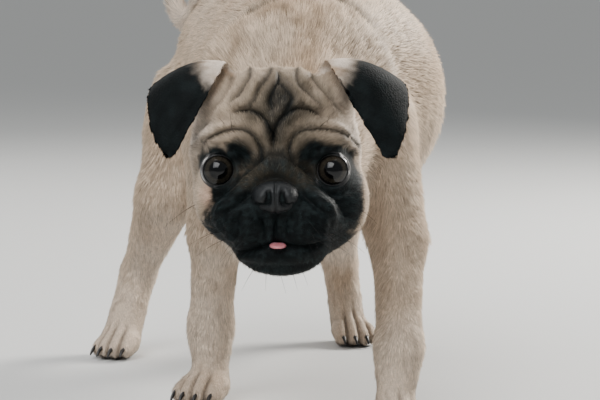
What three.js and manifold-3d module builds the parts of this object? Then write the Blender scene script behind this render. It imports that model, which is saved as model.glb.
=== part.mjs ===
// A young pug, life size, walking with its head lowered and turned to its right.
// Millimetres, +Z up. The dog faces -Y and its left side is +X. The paws stand on z = 0.
// Every body part is a closed mesh whose vertices are moved out to where a field of
// named ellipsoids and round cones is zero, and is then cut from its neighbours.
import * as THREE from 'three';
import { mergeVertices } from 'three/addons/utils/BufferGeometryUtils.js';
import Module from 'manifold-3d';

const wasm = await Module();
wasm.setup();

// Driving dimensions
const GAP = 0.3; // clearance between neighbouring pieces
const BACK_HEIGHT = 298; // floor to the top of the back
const TRUNK_WIDTH = 184; // across the ribs
const TRUNK_LENGTH = 300; // front of the chest to the buttocks
const HEAD_WIDTH = 108; // across the cheeks
const HEAD_HEIGHT = 130; // chin to crown, square to the line of sight
const EYE_SPACING = 68.8; // between the eye centres
const EYE_RADIUS = 10.8;
const LID_OPENING = 9.2; // half width of the opening between the lids
const MUZZLE_WIDTH = 69;
const NOSE_WIDTH = 26;
const EAR_THICKNESS = 3.4;
const EAR_SPREAD = 7; // the left ear is held further out than the right
const FRONT_LEG_WIDTH = 32;
const PAW_WIDTH = 41;
const TAIL_RADIUS = 12.5; // at its root
const CLAW_LENGTH = 8.5;

// Where the head is: the point midway between the eyes, and how the face is turned
const FACE_PLACE = new THREE.Vector3(-35, -243, 172);
const HEAD_TURN = 10.4; // degrees to the dog's right
const FACE_LIFT = 4.8; // degrees that the face frame looks above level

const V = (x, y, z) => new THREE.Vector3(x, y, z);
const radians = THREE.MathUtils.degToRad;
const lerp = THREE.MathUtils.lerp;
const clamp = THREE.MathUtils.clamp;
const SIDES = { right: -1, left: 1 };

// Finishes
const FINISHES = {
  coat: { color: 0xcdb9a5, roughness: 0.85, metalness: 0 },
  mask: { color: 0x14191b, roughness: 0.8, metalness: 0 },
  eye: { color: 0x1b110c, roughness: 0.05, metalness: 0 },
  leather: { color: 0x0c0f11, roughness: 0.35, metalness: 0 },
  tongue: { color: 0xc8848a, roughness: 0.3, metalness: 0 },
  claw: { color: 0x15120f, roughness: 0.4, metalness: 0 },
};

// Fields: the distance to a form, below zero inside it
function ellipsoid(centre, radii) {
  const inverse = V(1 / radii.x, 1 / radii.y, 1 / radii.z);
  const scaled = V();
  return (p) => {
    scaled.copy(p).sub(centre).multiply(inverse);
    const near = scaled.length();
    const slope = scaled.multiply(inverse).length();
    return slope < 1e-9 ? -Math.min(radii.x, radii.y, radii.z) : (near * (near - 1)) / slope;
  };
}

function roundCone(start, end, startRadius, endRadius) {
  const line = end.clone().sub(start);
  const lengthSq = line.lengthSq();
  const offset = V();
  return (p) => {
    offset.copy(p).sub(start);
    const t = clamp(offset.dot(line) / lengthSq, 0, 1);
    return offset.addScaledVector(line, -t).length() - lerp(startRadius, endRadius, t);
  };
}

function blend(forms, softness) {
  return (p) => forms.reduce((sum, form) => {
    const value = form(p);
    const near = Math.max(softness - Math.abs(sum - value), 0) / softness;
    return Math.min(sum, value) - (near * near * softness) / 4;
  }, 1e3);
}

// How far out from a start point a ray leaves the field
function rayLength(field, start, direction, reach) {
  const probe = V();
  const outside = (t) => field(probe.copy(start).addScaledVector(direction, t)) > 0;
  const STEPS = 24;
  let near = 0;
  let far = reach;
  for (let i = 1; i <= STEPS; i += 1) {
    if (outside((reach * i) / STEPS)) {
      far = (reach * i) / STEPS;
      break;
    }
    near = (reach * i) / STEPS;
  }
  if (near === reach) return reach;
  const HALVINGS = 16;
  for (let i = 0; i < HALVINGS; i += 1) {
    const middle = (near + far) / 2;
    if (outside(middle)) far = middle;
    else near = middle;
  }
  return (near + far) / 2;
}

// Geometry with only shared positions, each moved by a function
function moved(geometry, move) {
  geometry.deleteAttribute('normal');
  geometry.deleteAttribute('uv');
  const joined = mergeVertices(geometry, 1e-5);
  const place = joined.getAttribute('position');
  const point = V();
  for (let i = 0; i < place.count; i += 1) {
    point.fromBufferAttribute(place, i);
    move(point);
    place.setXYZ(i, point.x, point.y, point.z);
  }
  return joined;
}

// A ball shrunk or grown onto a field. shape stretches its rays and gather crowds them.
function wrapBall({ splits, centre, shape, field, gather, after }) {
  const ball = new THREE.IcosahedronGeometry(1, splits - 1);
  const ray = V();
  return moved(ball, (point) => {
    ray.copy(point).normalize();
    if (gather) gather(ray);
    ray.multiply(shape);
    const length = rayLength(field, centre, ray, 1.8);
    point.copy(centre).addScaledVector(ray, length);
    if (after) after(point, ray.normalize());
  });
}

// A limb: rings of rays out from a curve, with a dome of rays over each end
function wrapLimb({ path, around, along, field, reach, radius, dome = 0.16 }) {
  const ball = new THREE.SphereGeometry(1, around, along);
  const side = V();
  const front = V();
  const ray = V();
  const start = V();
  return moved(ball, (point) => {
    const ring = Math.acos(clamp(point.y, -1, 1)) / Math.PI;
    const turn = Math.atan2(point.z, point.x);
    const place = clamp((ring - dome) / (1 - 2 * dome), 0, 1);
    const lean = ring < dome ? (ring / dome) : Math.min((1 - ring) / dome, 1);
    const tangent = path.getTangentAt(place);
    side.set(1, 0, 0).addScaledVector(tangent, -tangent.x).normalize();
    front.crossVectors(tangent, side);
    const flat = Math.sin((lean * Math.PI) / 2);
    const end = Math.cos((lean * Math.PI) / 2) * (ring < 0.5 ? -1 : 1);
    ray.set(0, 0, 0).addScaledVector(side, Math.cos(turn) * flat);
    ray.addScaledVector(front, -Math.sin(turn) * flat).addScaledVector(tangent, end);
    start.copy(path.getPointAt(place));
    const length = field ? rayLength(field, start, ray, reach) : radius(place);
    point.copy(start).addScaledVector(ray, length);
  });
}

// Solids
function solid(geometry) {
  const place = geometry.getAttribute('position');
  const flipped = volume(geometry) < 0;
  const corners = Uint32Array.from(geometry.getIndex().array);
  if (flipped) {
    for (let i = 0; i < corners.length; i += 3) {
      [corners[i], corners[i + 1]] = [corners[i + 1], corners[i]];
    }
  }
  const vertProperties = Float32Array.from(place.array);
  return new wasm.Manifold(new wasm.Mesh({ numProp: 3, vertProperties, triVerts: corners }));
}

function volume(geometry) {
  const place = geometry.getAttribute('position');
  const index = geometry.getIndex();
  const [a, b, c] = [V(), V(), V()];
  let sum = 0;
  for (let i = 0; i < index.count; i += 3) {
    a.fromBufferAttribute(place, index.getX(i));
    b.fromBufferAttribute(place, index.getX(i + 1));
    c.fromBufferAttribute(place, index.getX(i + 2));
    sum += a.dot(b.cross(c));
  }
  return sum;
}

// The same geometry, grown outward by the clearance
function grown(geometry, by = GAP) {
  const copy = geometry.clone();
  copy.computeVertexNormals();
  const sign = Math.sign(volume(geometry));
  const place = copy.getAttribute('position');
  const normal = copy.getAttribute('normal');
  for (let i = 0; i < place.count; i += 1) {
    place.setXYZ(
      i,
      place.getX(i) + normal.getX(i) * by * sign,
      place.getY(i) + normal.getY(i) * by * sign,
      place.getZ(i) + normal.getZ(i) * by * sign,
    );
  }
  copy.deleteAttribute('normal');
  return solid(copy);
}

// Cuts the cutters from a solid and keeps the largest closed piece
function carve(body, cutters) {
  const cut = cutters.reduce((left, cutter) => left.subtract(cutter), body);
  const pieces = cut.decompose();
  return pieces.reduce((best, piece) => (piece.volume() > best.volume() ? piece : best));
}

const dog = new THREE.Group();

function addNode(name, body, finish) {
  const mesh = body.getMesh();
  const geometry = new THREE.BufferGeometry();
  const place = new Float32Array(mesh.numVert * 3);
  for (let i = 0; i < mesh.numVert; i += 1) {
    for (let axis = 0; axis < 3; axis += 1) {
      place[i * 3 + axis] = mesh.vertProperties[i * mesh.numProp + axis];
    }
  }
  geometry.setAttribute('position', new THREE.BufferAttribute(place, 3));
  geometry.setIndex(new THREE.BufferAttribute(Uint32Array.from(mesh.triVerts), 1));
  geometry.computeVertexNormals();
  const node = new THREE.Mesh(geometry, new THREE.MeshStandardMaterial(FINISHES[finish]));
  node.name = name;
  dog.add(node);
}

// Torso
const RIB_WIDTH = TRUNK_WIDTH / 2;
const BACK = BACK_HEIGHT - 5; // above the blend of the back's forms
const CHEST_FRONT = -TRUNK_LENGTH / 2;
const torsoForms = [
  ellipsoid(V(10, CHEST_FRONT + 58, 184), V(70, 58, 72)),
  ellipsoid(V(8, CHEST_FRONT + 34, 160), V(48, 40, 44)),
  ellipsoid(V(12, CHEST_FRONT + 66, 242), V(52, 52, 38)),
  ellipsoid(V(31, -32, BACK - 88), V(RIB_WIDTH, 92, 87)),
  ellipsoid(V(21, 42, BACK - 76), V(73, 78, 74)),
  ellipsoid(V(11, -CHEST_FRONT - 52, BACK - 70), V(60, 52, 66)),
];
const torsoField = blend(torsoForms, 16);
const torso = wrapBall({
  splits: 9,
  centre: V(14, 0, 200),
  shape: V(90, 150, 88),
  field: torsoField,
});
const torsoGrown = grown(torso);

// Face frame: across to the dog's left, up the forehead, and forward out of the face
const across = V(Math.cos(radians(HEAD_TURN)), -Math.sin(radians(HEAD_TURN)), 0);
const forward = V(
  -Math.sin(radians(HEAD_TURN)) * Math.cos(radians(FACE_LIFT)),
  -Math.cos(radians(HEAD_TURN)) * Math.cos(radians(FACE_LIFT)),
  Math.sin(radians(FACE_LIFT)),
);
const upward = forward.clone().cross(across);
const faceFrame = new THREE.Matrix4().makeBasis(across, upward, forward).setPosition(FACE_PLACE);
const onFace = (x, y, z) => V(x, y, z).applyMatrix4(faceFrame);

// Head forms, in the face frame: the left cheek is fuller and the chin set to the left
const CHEEK = HEAD_WIDTH / 2;
const CROWN = HEAD_HEIGHT / 2;
const PAD = MUZZLE_WIDTH / 4;
const NOSE_FRONT = 27;
const pair = (make) => [make(-1), make(1)];
const headForms = [
  ellipsoid(V(0, 11, -47), V(CHEEK - 1, CROWN - 12, 52)),
  ellipsoid(V(0, 30, -26), V(40, 33, 30)),
  ...pair((s) => ellipsoid(V(s * 36, 46, -32), V(15, 15, 15))),
  ellipsoid(V(-27.5, -16, -30), V(23.5, 27, 31)),
  ellipsoid(V(33, -18, -30), V(25.5, 29, 31)),
  ...pair((s) => ellipsoid(V(s * 25, 19, -9), V(19, 12, 13))),
  ...pair((s) => ellipsoid(V(s * PAD, -27, 3), V(PAD + 1.5, 19, 19))),
  ellipsoid(V(0, -12, 2), V(15, 17, 15)),
  ellipsoid(V(3.5, -46.5, -7), V(29, 18.5, 22)),
  ellipsoid(V(4, -38, -34), V(37, 21, 34)),
];
const headField = blend(headForms, 9);

// Raised and sunken lines on the face: [height, width, points across and up]
const EYE_X = EYE_SPACING / 2;
const lidRing = (radius) => Array.from({ length: 13 }, (unused, i) => {
  const turn = (i * Math.PI) / 6;
  return [EYE_X + radius * Math.cos(turn), radius * 0.92 * Math.sin(turn)];
});
const mirroredLines = [
  [1.6, 1.8, lidRing(LID_OPENING + 2.4)],
  [-1.6, 2.0, lidRing(LID_OPENING + 7)],
  [4.2, 3.6, [[2, 5], [12, 0], [22, -9], [32, -21], [37, -31]]],
  [-3.0, 2.4, [[1, 13], [13, 8], [24, -4], [34, -15], [42, -26]]],
  [-2.2, 2.0, [[11, -8], [18, -18], [22, -24]]],
  [3.0, 3.2, [[9, 10], [13, 20], [26, 28], [40, 25], [50, 14]]],
  [-2.6, 2.2, [[7, 16], [14, 26], [28, 33], [42, 30], [53, 18]]],
  [2.4, 3.0, [[1, 24], [12, 33], [26, 40], [40, 39]]],
  [-2.2, 2.2, [[0, 20], [12, 28], [20, 32]]],
  [2.2, 3.0, [[9, 38], [13, 50], [16, 64]]],
  [-2.0, 2.2, [[3, 40], [5, 50], [7, 64]]],
  [-1.8, 2.2, [[19, 40], [24, 52], [27, 62]]],
  [-3.4, 2.0, [[0, -42.5], [10, -44.5], [20, -46.5], [29, -46]]],
  [1.8, 2.4, [[2, -38], [12, -39.5], [22, -41], [31, -40]]],
  [1.4, 2.4, [[0, -48.5], [10, -50], [20, -51.5], [27, -51]]],
];
const middleLines = [
  [-2.0, 1.6, [[0, -24], [0, -41]]],
  [2.6, 3.4, [[0, 42], [0, 52]]],
];

function lineDistance(x, y, points) {
  let best = Infinity;
  for (let i = 0; i + 1 < points.length; i += 1) {
    const [ax, ay] = points[i];
    const [bx, by] = points[i + 1];
    const lengthSq = (bx - ax) ** 2 + (by - ay) ** 2;
    const t = clamp(((x - ax) * (bx - ax) + (y - ay) * (by - ay)) / lengthSq, 0, 1);
    best = Math.min(best, Math.hypot(x - ax - t * (bx - ax), y - ay - t * (by - ay)));
  }
  return best;
}

function faceRelief(point) {
  const front = THREE.MathUtils.smoothstep(point.z, -52, -30);
  const height = (x, lines) => lines.reduce((sum, [rise, width, points]) => {
    const near = lineDistance(x, point.y, points) / width;
    return sum + rise * Math.exp((-near * near) / 2);
  }, 0);
  return front * (height(Math.abs(point.x), mirroredLines) + height(point.x, middleLines));
}

// More of the ball's vertices are drawn to the front of the head
function crowdForward(ray) {
  const CROWDING = 0.4;
  ray.z = ray.z + CROWDING * (1 - ray.z * ray.z);
  const flat = Math.hypot(ray.x, ray.y);
  const wanted = Math.sqrt(Math.max(1 - ray.z * ray.z, 0));
  if (flat > 1e-9) {
    ray.x *= wanted / flat;
    ray.y *= wanted / flat;
  }
  ray.normalize();
}

const head = wrapBall({
  splits: 15,
  centre: V(0, 0, -42),
  shape: V(60, 62, 60),
  field: headField,
  gather: crowdForward,
  after: (point, ray) => {
    point.addScaledVector(ray, faceRelief(point));
  },
});
head.applyMatrix4(faceFrame);
const headGrown = grown(head);

// Eyes, in sockets, with the opening between the lids
const EYE_DEPTH = -7.6; // eye centre behind the face frame's plane
function eyeBall(side, radius) {
  const ball = moved(new THREE.SphereGeometry(radius, 16, 11), () => {});
  ball.rotateX(Math.PI / 2);
  ball.translate(side * EYE_X, 0, EYE_DEPTH);
  ball.applyMatrix4(faceFrame);
  return ball;
}

function lidCutter(side) {
  const FLARE = 1.06;
  const DEPTH = 26;
  const cone = moved(new THREE.CylinderGeometry(
    LID_OPENING * FLARE, LID_OPENING, DEPTH, 22, 1), () => {});
  cone.rotateX(Math.PI / 2);
  cone.scale(1, 0.92, 1);
  cone.translate(side * EYE_X, 0, EYE_DEPTH + DEPTH / 2);
  cone.applyMatrix4(faceFrame);
  return cone;
}

// Tongue tip, just past the lower lip
const tongue = moved(new THREE.SphereGeometry(1, 12, 9), () => {});
tongue.scale(5.4, 2.4, 9);
tongue.rotateX(radians(14));
tongue.translate(1.4, -44.4, 13.5);
tongue.applyMatrix4(faceFrame);

const sockets = Object.values(SIDES).flatMap((s) => [
  solid(eyeBall(s, EYE_RADIUS + GAP)),
  solid(lidCutter(s)),
]);

// Nose leather, with nostrils that open down and outward
const noseForms = [
  ellipsoid(V(0, -14, NOSE_FRONT - 10), V(NOSE_WIDTH / 2, 7.5, 9)),
  ellipsoid(V(0, -20, NOSE_FRONT - 9), V(6.5, 6, 8)),
  ...pair((s) => ellipsoid(V(s * 7.6, -17, NOSE_FRONT - 10), V(5.6, 6.4, 8.4))),
];
const nose = wrapBall({
  splits: 4,
  centre: V(0, -16, NOSE_FRONT - 10),
  shape: V(13, 9, 9),
  field: blend(noseForms, 3),
});
nose.applyMatrix4(faceFrame);
const nostrils = Object.values(SIDES).map((s) => {
  const hole = moved(new THREE.SphereGeometry(1, 10, 7), () => {});
  hole.scale(2.7, 2.1, 4.2);
  hole.rotateZ(radians(-24 * s));
  hole.translate(s * 6.6, -17.5, NOSE_FRONT - 2.2);
  hole.applyMatrix4(faceFrame);
  return solid(hole);
});

// Neck, thick and short, with a roll of loose skin
const neckField = blend([
  roundCone(V(10, -96, 216), onFace(0, 4, -62), 62, 50),
  roundCone(V(8, -112, 178), onFace(0, -22, -60), 50, 42),
  ellipsoid(V(-2, -132, 214), V(66, 26, 52)),
], 12);
const neck = wrapBall({
  splits: 7,
  centre: V(-4, -140, 200),
  shape: V(66, 60, 66),
  field: neckField,
});
const neckGrown = grown(neck);

// Ears: a sheet that rises from the skull, folds over and hangs as a pointed flap
function earSheet(side) {
  const inner = new THREE.CatmullRomCurve3([
    V(24, 52, -28), V(27, 66, -21), V(34, 55, -9), V(44, 36, -5), V(54, 19, -5), V(61, 7, -6),
  ]);
  const outer = new THREE.CatmullRomCurve3([
    V(48, 36, -46), V(65, 55, -44), V(78, 50, -32), V(78, 32, -20), V(73, 15, -10), V(65, 5, -7),
  ]);
  const HUMP = 10;
  const sheet = moved(new THREE.BoxGeometry(1, 1, 1, 7, 13, 1), () => {});
  const place = (s, t) => {
    const point = inner.getPoint(t).lerp(outer.getPoint(t), s);
    const swell = Math.sin(Math.PI * s) * Math.sin(Math.PI * clamp(t * 1.2, 0, 1));
    const spread = side > 0 ? EAR_SPREAD * t * (0.5 + 0.5 * s) : 0;
    point.add(V(spread, spread * (1 - t) * 1.6, 0));
    return point.add(V(0, 0.8, 0.5).multiplyScalar(HUMP * swell * (1 - 0.6 * t)));
  };
  return moved(sheet, (p) => {
    const s = clamp(p.x + 0.5, 0.001, 0.999);
    const t = clamp(p.y + 0.5, 0.001, 0.999);
    const step = 0.01;
    const here = place(s, t);
    const alongS = place(Math.min(s + step, 1), t).sub(place(Math.max(s - step, 0), t));
    const alongT = place(s, Math.min(t + step, 1)).sub(place(s, Math.max(t - step, 0)));
    const normal = alongS.cross(alongT).normalize();
    const rim = 1 - 0.45 * Math.abs(2 * s - 1) ** 4;
    const depth = p.z * EAR_THICKNESS * rim;
    p.copy(here).addScaledVector(normal, depth);
    p.x *= side;
  });
}

// Legs: each from a shoulder or hip to a paw
const LEG = FRONT_LEG_WIDTH / 2;
const legs = {
  front_left: {
    shoulder: V(52, -112, 186), elbow: V(63, -150, 118), wrist: V(55, -188, 52),
    paw: V(50, -203, 0), heading: 4, front: true, side: 1,
  },
  front_right: {
    shoulder: V(-38, -96, 186), elbow: V(-46, -84, 118), wrist: V(-47, -62, 50),
    paw: V(-51, -72, 0), heading: -38, front: true, side: -1,
  },
  hind_left: {
    shoulder: V(50, 88, 196), elbow: V(76, 104, 128), wrist: V(93, 172, 66),
    paw: V(97, 150, 0), heading: 8, front: false, side: 1,
  },
  hind_right: {
    shoulder: V(-28, 88, 196), elbow: V(-58, 78, 128), wrist: V(-70, 146, 64),
    paw: V(-87, 124, 0), heading: -38, front: false, side: -1,
  },
};

// A paw's forms, from its place on the floor and its heading
function pawForms(leg) {
  const turn = radians(leg.heading);
  const place = (x, y, z) => V(
    leg.paw.x + x * Math.cos(turn) + y * Math.sin(turn),
    leg.paw.y - y * Math.cos(turn) + x * Math.sin(turn),
    z,
  );
  const scale = leg.front ? 1 : 0.92;
  const half = (PAW_WIDTH / 2) * scale;
  const toes = [-0.66, -0.24, 0.24, 0.66].map((share) => ({
    x: share * half,
    y: (19 - 12 * share * share) * scale,
  }));
  const forms = [
    ellipsoid(place(0, 0, 12), V(16 * scale, 17 * scale, 12)),
    ...toes.map((toe) => roundCone(
      place(toe.x * 0.9, toe.y - 10, 12), place(toe.x, toe.y, 8), 7.4 * scale, 6.9 * scale)),
    roundCone(place(0, -5, 14), leg.wrist, 13 * scale, 13.5 * scale),
  ];
  return { forms, toes, place, scale };
}

// Keeps the side of a joint's plane that the direction points to, half a gap clear of it
function keepBeyond(body, joint, direction) {
  const normal = direction.clone().normalize();
  const offset = normal.dot(joint) + GAP / 2;
  return body.trimByPlane(normal.toArray(), offset);
}

function buildLeg(name, leg) {
  const paws = pawForms(leg);
  const outward = leg.side;
  const upper = leg.front ? [
    roundCone(leg.shoulder, leg.elbow, 33, 20),
    ellipsoid(leg.shoulder.clone().add(V(outward * 2, 6, 4)), V(29, 40, 46)),
  ] : [
    roundCone(leg.shoulder, leg.elbow, 42, 22),
    ellipsoid(
      leg.shoulder.clone().lerp(leg.elbow, 0.4).add(V(outward * 4, 12, 0)), V(29, 44, 46)),
  ];
  const heel = leg.wrist.clone().add(leg.front ? V(0, 2, -10) : V(0, 5, 1));
  const lower = leg.front ? [
    roundCone(leg.elbow, leg.wrist, LEG + 2.5, LEG - 1),
    ellipsoid(leg.elbow.clone().add(V(outward * 3, 12, 2)), V(13, 16, 16)),
    roundCone(leg.wrist, heel, LEG, LEG - 2),
  ] : [
    roundCone(leg.elbow, leg.wrist, 24, 13.5),
    roundCone(heel, leg.paw.clone().add(V(0, 12, 16)), 13.5, 13),
  ];
  const legField = blend([
    blend([...upper, ...lower], 10),
    blend(paws.forms, 4),
  ], 8);
  const knee = leg.elbow.clone().lerp(leg.wrist, leg.front ? 0 : 0.12);
  const shin = leg.wrist.clone().sub(leg.elbow).normalize();
  const ankle = leg.front
    ? leg.wrist.clone().lerp(leg.paw, 0.3)
    : leg.wrist.clone().lerp(leg.paw, 0.52).add(V(0, 7, 4));
  const pastern = paws.place(0, -4, 14).sub(ankle).normalize();
  const upperLimb = wrapLimb({
    path: new THREE.CatmullRomCurve3([
      leg.shoulder.clone().add(V(-outward * 10, 0, 0)),
      leg.shoulder.clone().lerp(leg.elbow, 0.5),
      knee.clone().addScaledVector(shin, 8),
    ]),
    around: 16,
    along: 10,
    field: legField,
    reach: 58,
  });
  const lowerPath = leg.front
    ? [knee, leg.elbow.clone().lerp(leg.wrist, 0.5), leg.wrist, ankle]
    : [knee, leg.elbow.clone().lerp(leg.wrist, 0.55), leg.wrist.clone().add(V(0, -2, 1)), ankle];
  const lowerLimb = wrapLimb({
    path: new THREE.CatmullRomCurve3([
      lowerPath[0].clone().addScaledVector(shin, -4),
      ...lowerPath.slice(1, -1),
      ankle.clone().addScaledVector(pastern, 4),
    ]),
    around: 14,
    along: 13,
    dome: 0.1,
    field: legField,
    reach: 30,
  });
  const paw = wrapBall({
    splits: 5,
    centre: paws.place(0, 1, 14),
    shape: V(26, 30, 32),
    field: legField,
    after: (point) => {
      point.z = Math.max(point.z, 0);
    },
  });
  const [top, bottom] = leg.front ? ['upper', 'lower'] : ['thigh', 'shank'];
  const upperSolid = keepBeyond(solid(upperLimb), knee, shin.clone().negate());
  const lowerSolid = keepBeyond(
    keepBeyond(solid(lowerLimb), knee, shin), ankle, pastern.clone().negate());
  addNode(`leg_${name}_${top}`, carve(upperSolid, [torsoGrown, neckGrown]), 'coat');
  addNode(`leg_${name}_${bottom}`, carve(lowerSolid, [torsoGrown]), 'coat');
  addNode(`leg_${name}_paw`, keepBeyond(solid(paw), ankle, pastern), 'coat');
  const pawGrown = grown(paw);
  paws.toes.forEach((toe, i) => {
    const path = new THREE.QuadraticBezierCurve3(
      paws.place(toe.x, toe.y + 1, 9.5),
      paws.place(toe.x * 1.02, toe.y + CLAW_LENGTH, 10.5),
      paws.place(toe.x * 1.04, toe.y + CLAW_LENGTH + 3.4, 3.2),
    );
    const claw = wrapLimb({
      path,
      around: 5,
      along: 4,
      radius: (t) => lerp(2.3, 0.7, t),
    });
    addNode(`claw_${name}_${i + 1}`, carve(solid(claw), [pawGrown]), 'claw');
  });
}

// Tail: a curl over the right hip, in three lengths
const TAIL_TURNS = 1.15;
const CURL_RADIUS = 27;
const CURL_TIGHTENING = 2.5;
const CURL_PITCH = 37;
const CURL_HEIGHT = 279;
const tailPoints = [V(5, 116, 244), V(4, 142, 252)];
const CURL_STEPS = 14;
for (let i = 0; i <= CURL_STEPS; i += 1) {
  const share = i / CURL_STEPS;
  const turn = radians(-48) + share * TAIL_TURNS * 2 * Math.PI;
  const radius = CURL_RADIUS - CURL_TIGHTENING * share;
  tailPoints.push(V(
    1 - CURL_PITCH * TAIL_TURNS * share,
    146 + radius * Math.cos(turn),
    CURL_HEIGHT + radius * Math.sin(turn),
  ));
}
const tailPath = new THREE.CatmullRomCurve3(tailPoints);
const TAIL_LENGTHS = [[0.02, 0.36], [0.34, 0.68], [0.66, 1]];

function tailLength([from, to]) {
  const STATIONS = 9;
  const stations = Array.from({ length: STATIONS }, (unused, i) => (
    tailPath.getPointAt(lerp(from, to, i / (STATIONS - 1)))
  ));
  return wrapLimb({
    path: new THREE.CatmullRomCurve3(stations),
    around: 10,
    along: 10,
    dome: 0.12,
    radius: (t) => TAIL_RADIUS * (1 - 0.42 * lerp(from, to, t) ** 1.6),
  });
}

// The nodes
addNode('torso', solid(torso), 'coat');
addNode('head', carve(solid(head), [...sockets, grown(tongue), neckGrown]), 'coat');
addNode('neck', carve(solid(neck), [torsoGrown]), 'coat');
addNode('nose', carve(solid(nose), [headGrown, ...nostrils]), 'leather');
addNode('tongue', solid(tongue), 'tongue');
Object.entries(SIDES).forEach(([name, side]) => {
  addNode(`eye_${name}`, solid(eyeBall(side, EYE_RADIUS)), 'eye');
  const ear = earSheet(side);
  ear.applyMatrix4(faceFrame);
  addNode(`ear_${name}`, carve(solid(ear), [headGrown, neckGrown]), 'mask');
});
Object.entries(legs).forEach(([name, leg]) => buildLeg(name, leg));
const tails = TAIL_LENGTHS.map(tailLength);
tails.forEach((length, i) => {
  const cutters = i === 0 ? [torsoGrown] : [torsoGrown, grown(tails[i - 1])];
  addNode(`tail_${i + 1}`, carve(solid(length), cutters), 'coat');
});

// The origin is on the floor at the centre of the dog's box
dog.updateMatrixWorld(true);
const box = new THREE.Box3().setFromObject(dog);
const middle = box.getCenter(V());
dog.children.forEach((node) => {
  node.geometry.translate(-middle.x, -middle.y, -box.min.z);
});

export default dog;
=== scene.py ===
"""Dresses a life-size young pug, walking with its head lowered, in skin, coat, eyes and nose.

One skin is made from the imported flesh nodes, folded and coloured, and short tufts of coat
grow from it along the lie of the hair. All lengths are metres unless a name ends in _MM.
"""
import logging
import math
from dataclasses import dataclass
from enum import IntEnum

import bmesh
import bpy
import numpy as np
from mathutils import Matrix, Vector
from mathutils.bvhtree import BVHTree


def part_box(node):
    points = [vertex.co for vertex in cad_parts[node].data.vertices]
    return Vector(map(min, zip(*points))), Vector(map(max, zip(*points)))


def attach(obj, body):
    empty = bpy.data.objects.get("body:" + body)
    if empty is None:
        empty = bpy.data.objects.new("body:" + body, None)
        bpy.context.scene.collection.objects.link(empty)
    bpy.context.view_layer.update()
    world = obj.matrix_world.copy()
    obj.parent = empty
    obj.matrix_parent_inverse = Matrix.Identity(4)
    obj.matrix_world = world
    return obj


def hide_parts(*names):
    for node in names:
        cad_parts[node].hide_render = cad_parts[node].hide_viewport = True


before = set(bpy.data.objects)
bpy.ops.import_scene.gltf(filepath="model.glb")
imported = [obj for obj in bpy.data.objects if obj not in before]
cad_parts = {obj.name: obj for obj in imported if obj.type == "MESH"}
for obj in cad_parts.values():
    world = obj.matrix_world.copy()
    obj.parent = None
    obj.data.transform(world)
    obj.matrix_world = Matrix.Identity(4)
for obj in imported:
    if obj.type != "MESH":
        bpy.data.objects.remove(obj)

LOG = logging.getLogger("pug")
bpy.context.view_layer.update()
MM = 0.001
SIDES: dict[str, int] = {"right": -1, "left": 1}
SEED = 20260
PAWS = ("front_left", "front_right", "hind_left", "hind_right")
COLOUR_LAYER = "coat_colour"
GRAIN_DETAIL = 3.0
Rows = tuple[tuple[float, ...], ...]
Triple = tuple[float, float, float]


class Region(IntEnum):
    """A stretch of the body with its own coat."""

    HEAD = 0
    EAR = 1
    NECK = 2
    TORSO = 3
    UPPER_LEG = 4
    LOWER_LEG = 5
    PAW = 6
    TAIL = 7
    EYE = 8


FACE_REGIONS = (Region.HEAD, Region.EYE)


def region_of(node: str) -> Region:
    """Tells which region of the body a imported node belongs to.

    Args:
        node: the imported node's name.

    Returns:
        Its region.
    """
    endings = {"_upper": Region.UPPER_LEG, "_thigh": Region.UPPER_LEG, "_lower": Region.LOWER_LEG,
               "_shank": Region.LOWER_LEG, "_paw": Region.PAW}
    for ending, region in endings.items():
        if node.endswith(ending):
            return region
    starts = {"head": Region.HEAD, "nose": Region.HEAD, "ear": Region.EAR, "neck": Region.NECK,
              "torso": Region.TORSO, "tail": Region.TAIL, "eye": Region.EYE}
    return next(region for start, region in starts.items() if node.startswith(start))


def smoothstep(low: float, high: float, value: np.ndarray) -> np.ndarray:
    """Eases from 0 at low to 1 at high.

    Args:
        low: where it starts.
        high: where it ends.
        value: what is tested.

    Returns:
        The eased share.
    """
    t = np.clip((value - low) / (high - low), 0.0, 1.0)
    return t * t * (3.0 - 2.0 * t)


def bump(value: np.ndarray, middle: np.ndarray | float, spread: float) -> np.ndarray:
    """Gives a smooth bump of height 1 over its middle, falling off over its spread."""
    return np.exp(-0.5 * ((value - middle) / spread) ** 2)


def mix(a: np.ndarray, b: np.ndarray, share: np.ndarray) -> np.ndarray:
    """Mixes rows of a, or its one row, towards those of b by a share for each row."""
    return a + (b - a) * share[:, None]


def unit(rows: np.ndarray) -> np.ndarray:
    """Scales each row to length 1."""
    return rows / np.maximum(np.linalg.norm(rows, axis=-1, keepdims=True), 1e-9)


def linear(red: int, green: int, blue: int) -> np.ndarray:
    """Turns a screen colour of 0 to 255 into scene values."""
    share = np.array([red, green, blue]) / 255.0
    return np.where(share <= 0.04045, share / 12.92, ((share + 0.055) / 1.055) ** 2.4)


def node_centre(node: str) -> np.ndarray:
    """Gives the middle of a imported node's box."""
    low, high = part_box(node)
    return (np.array(low) + np.array(high)) / 2.0


class Waves:
    """Smooth seeded noise made of a few dozen waves in space."""

    def __init__(self, scale: float, seed: int, count: int = 24) -> None:
        """Draws the waves.

        Args:
            scale: rough length of one wave.
            seed: for the draw.
            count: how many waves.
        """
        draw = np.random.default_rng(seed)
        self.aim = draw.normal(size=(3, count)) * (2.0 * math.pi / scale) * 0.6
        self.shift = draw.uniform(0.0, 2.0 * math.pi, count)
        self.gain = math.sqrt(2.0 / count)

    def at(self, points: np.ndarray) -> np.ndarray:
        """Gives the noise at each point, about -1 to 1."""
        return np.sin(points @ self.aim + self.shift).sum(axis=1) * self.gain


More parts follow.
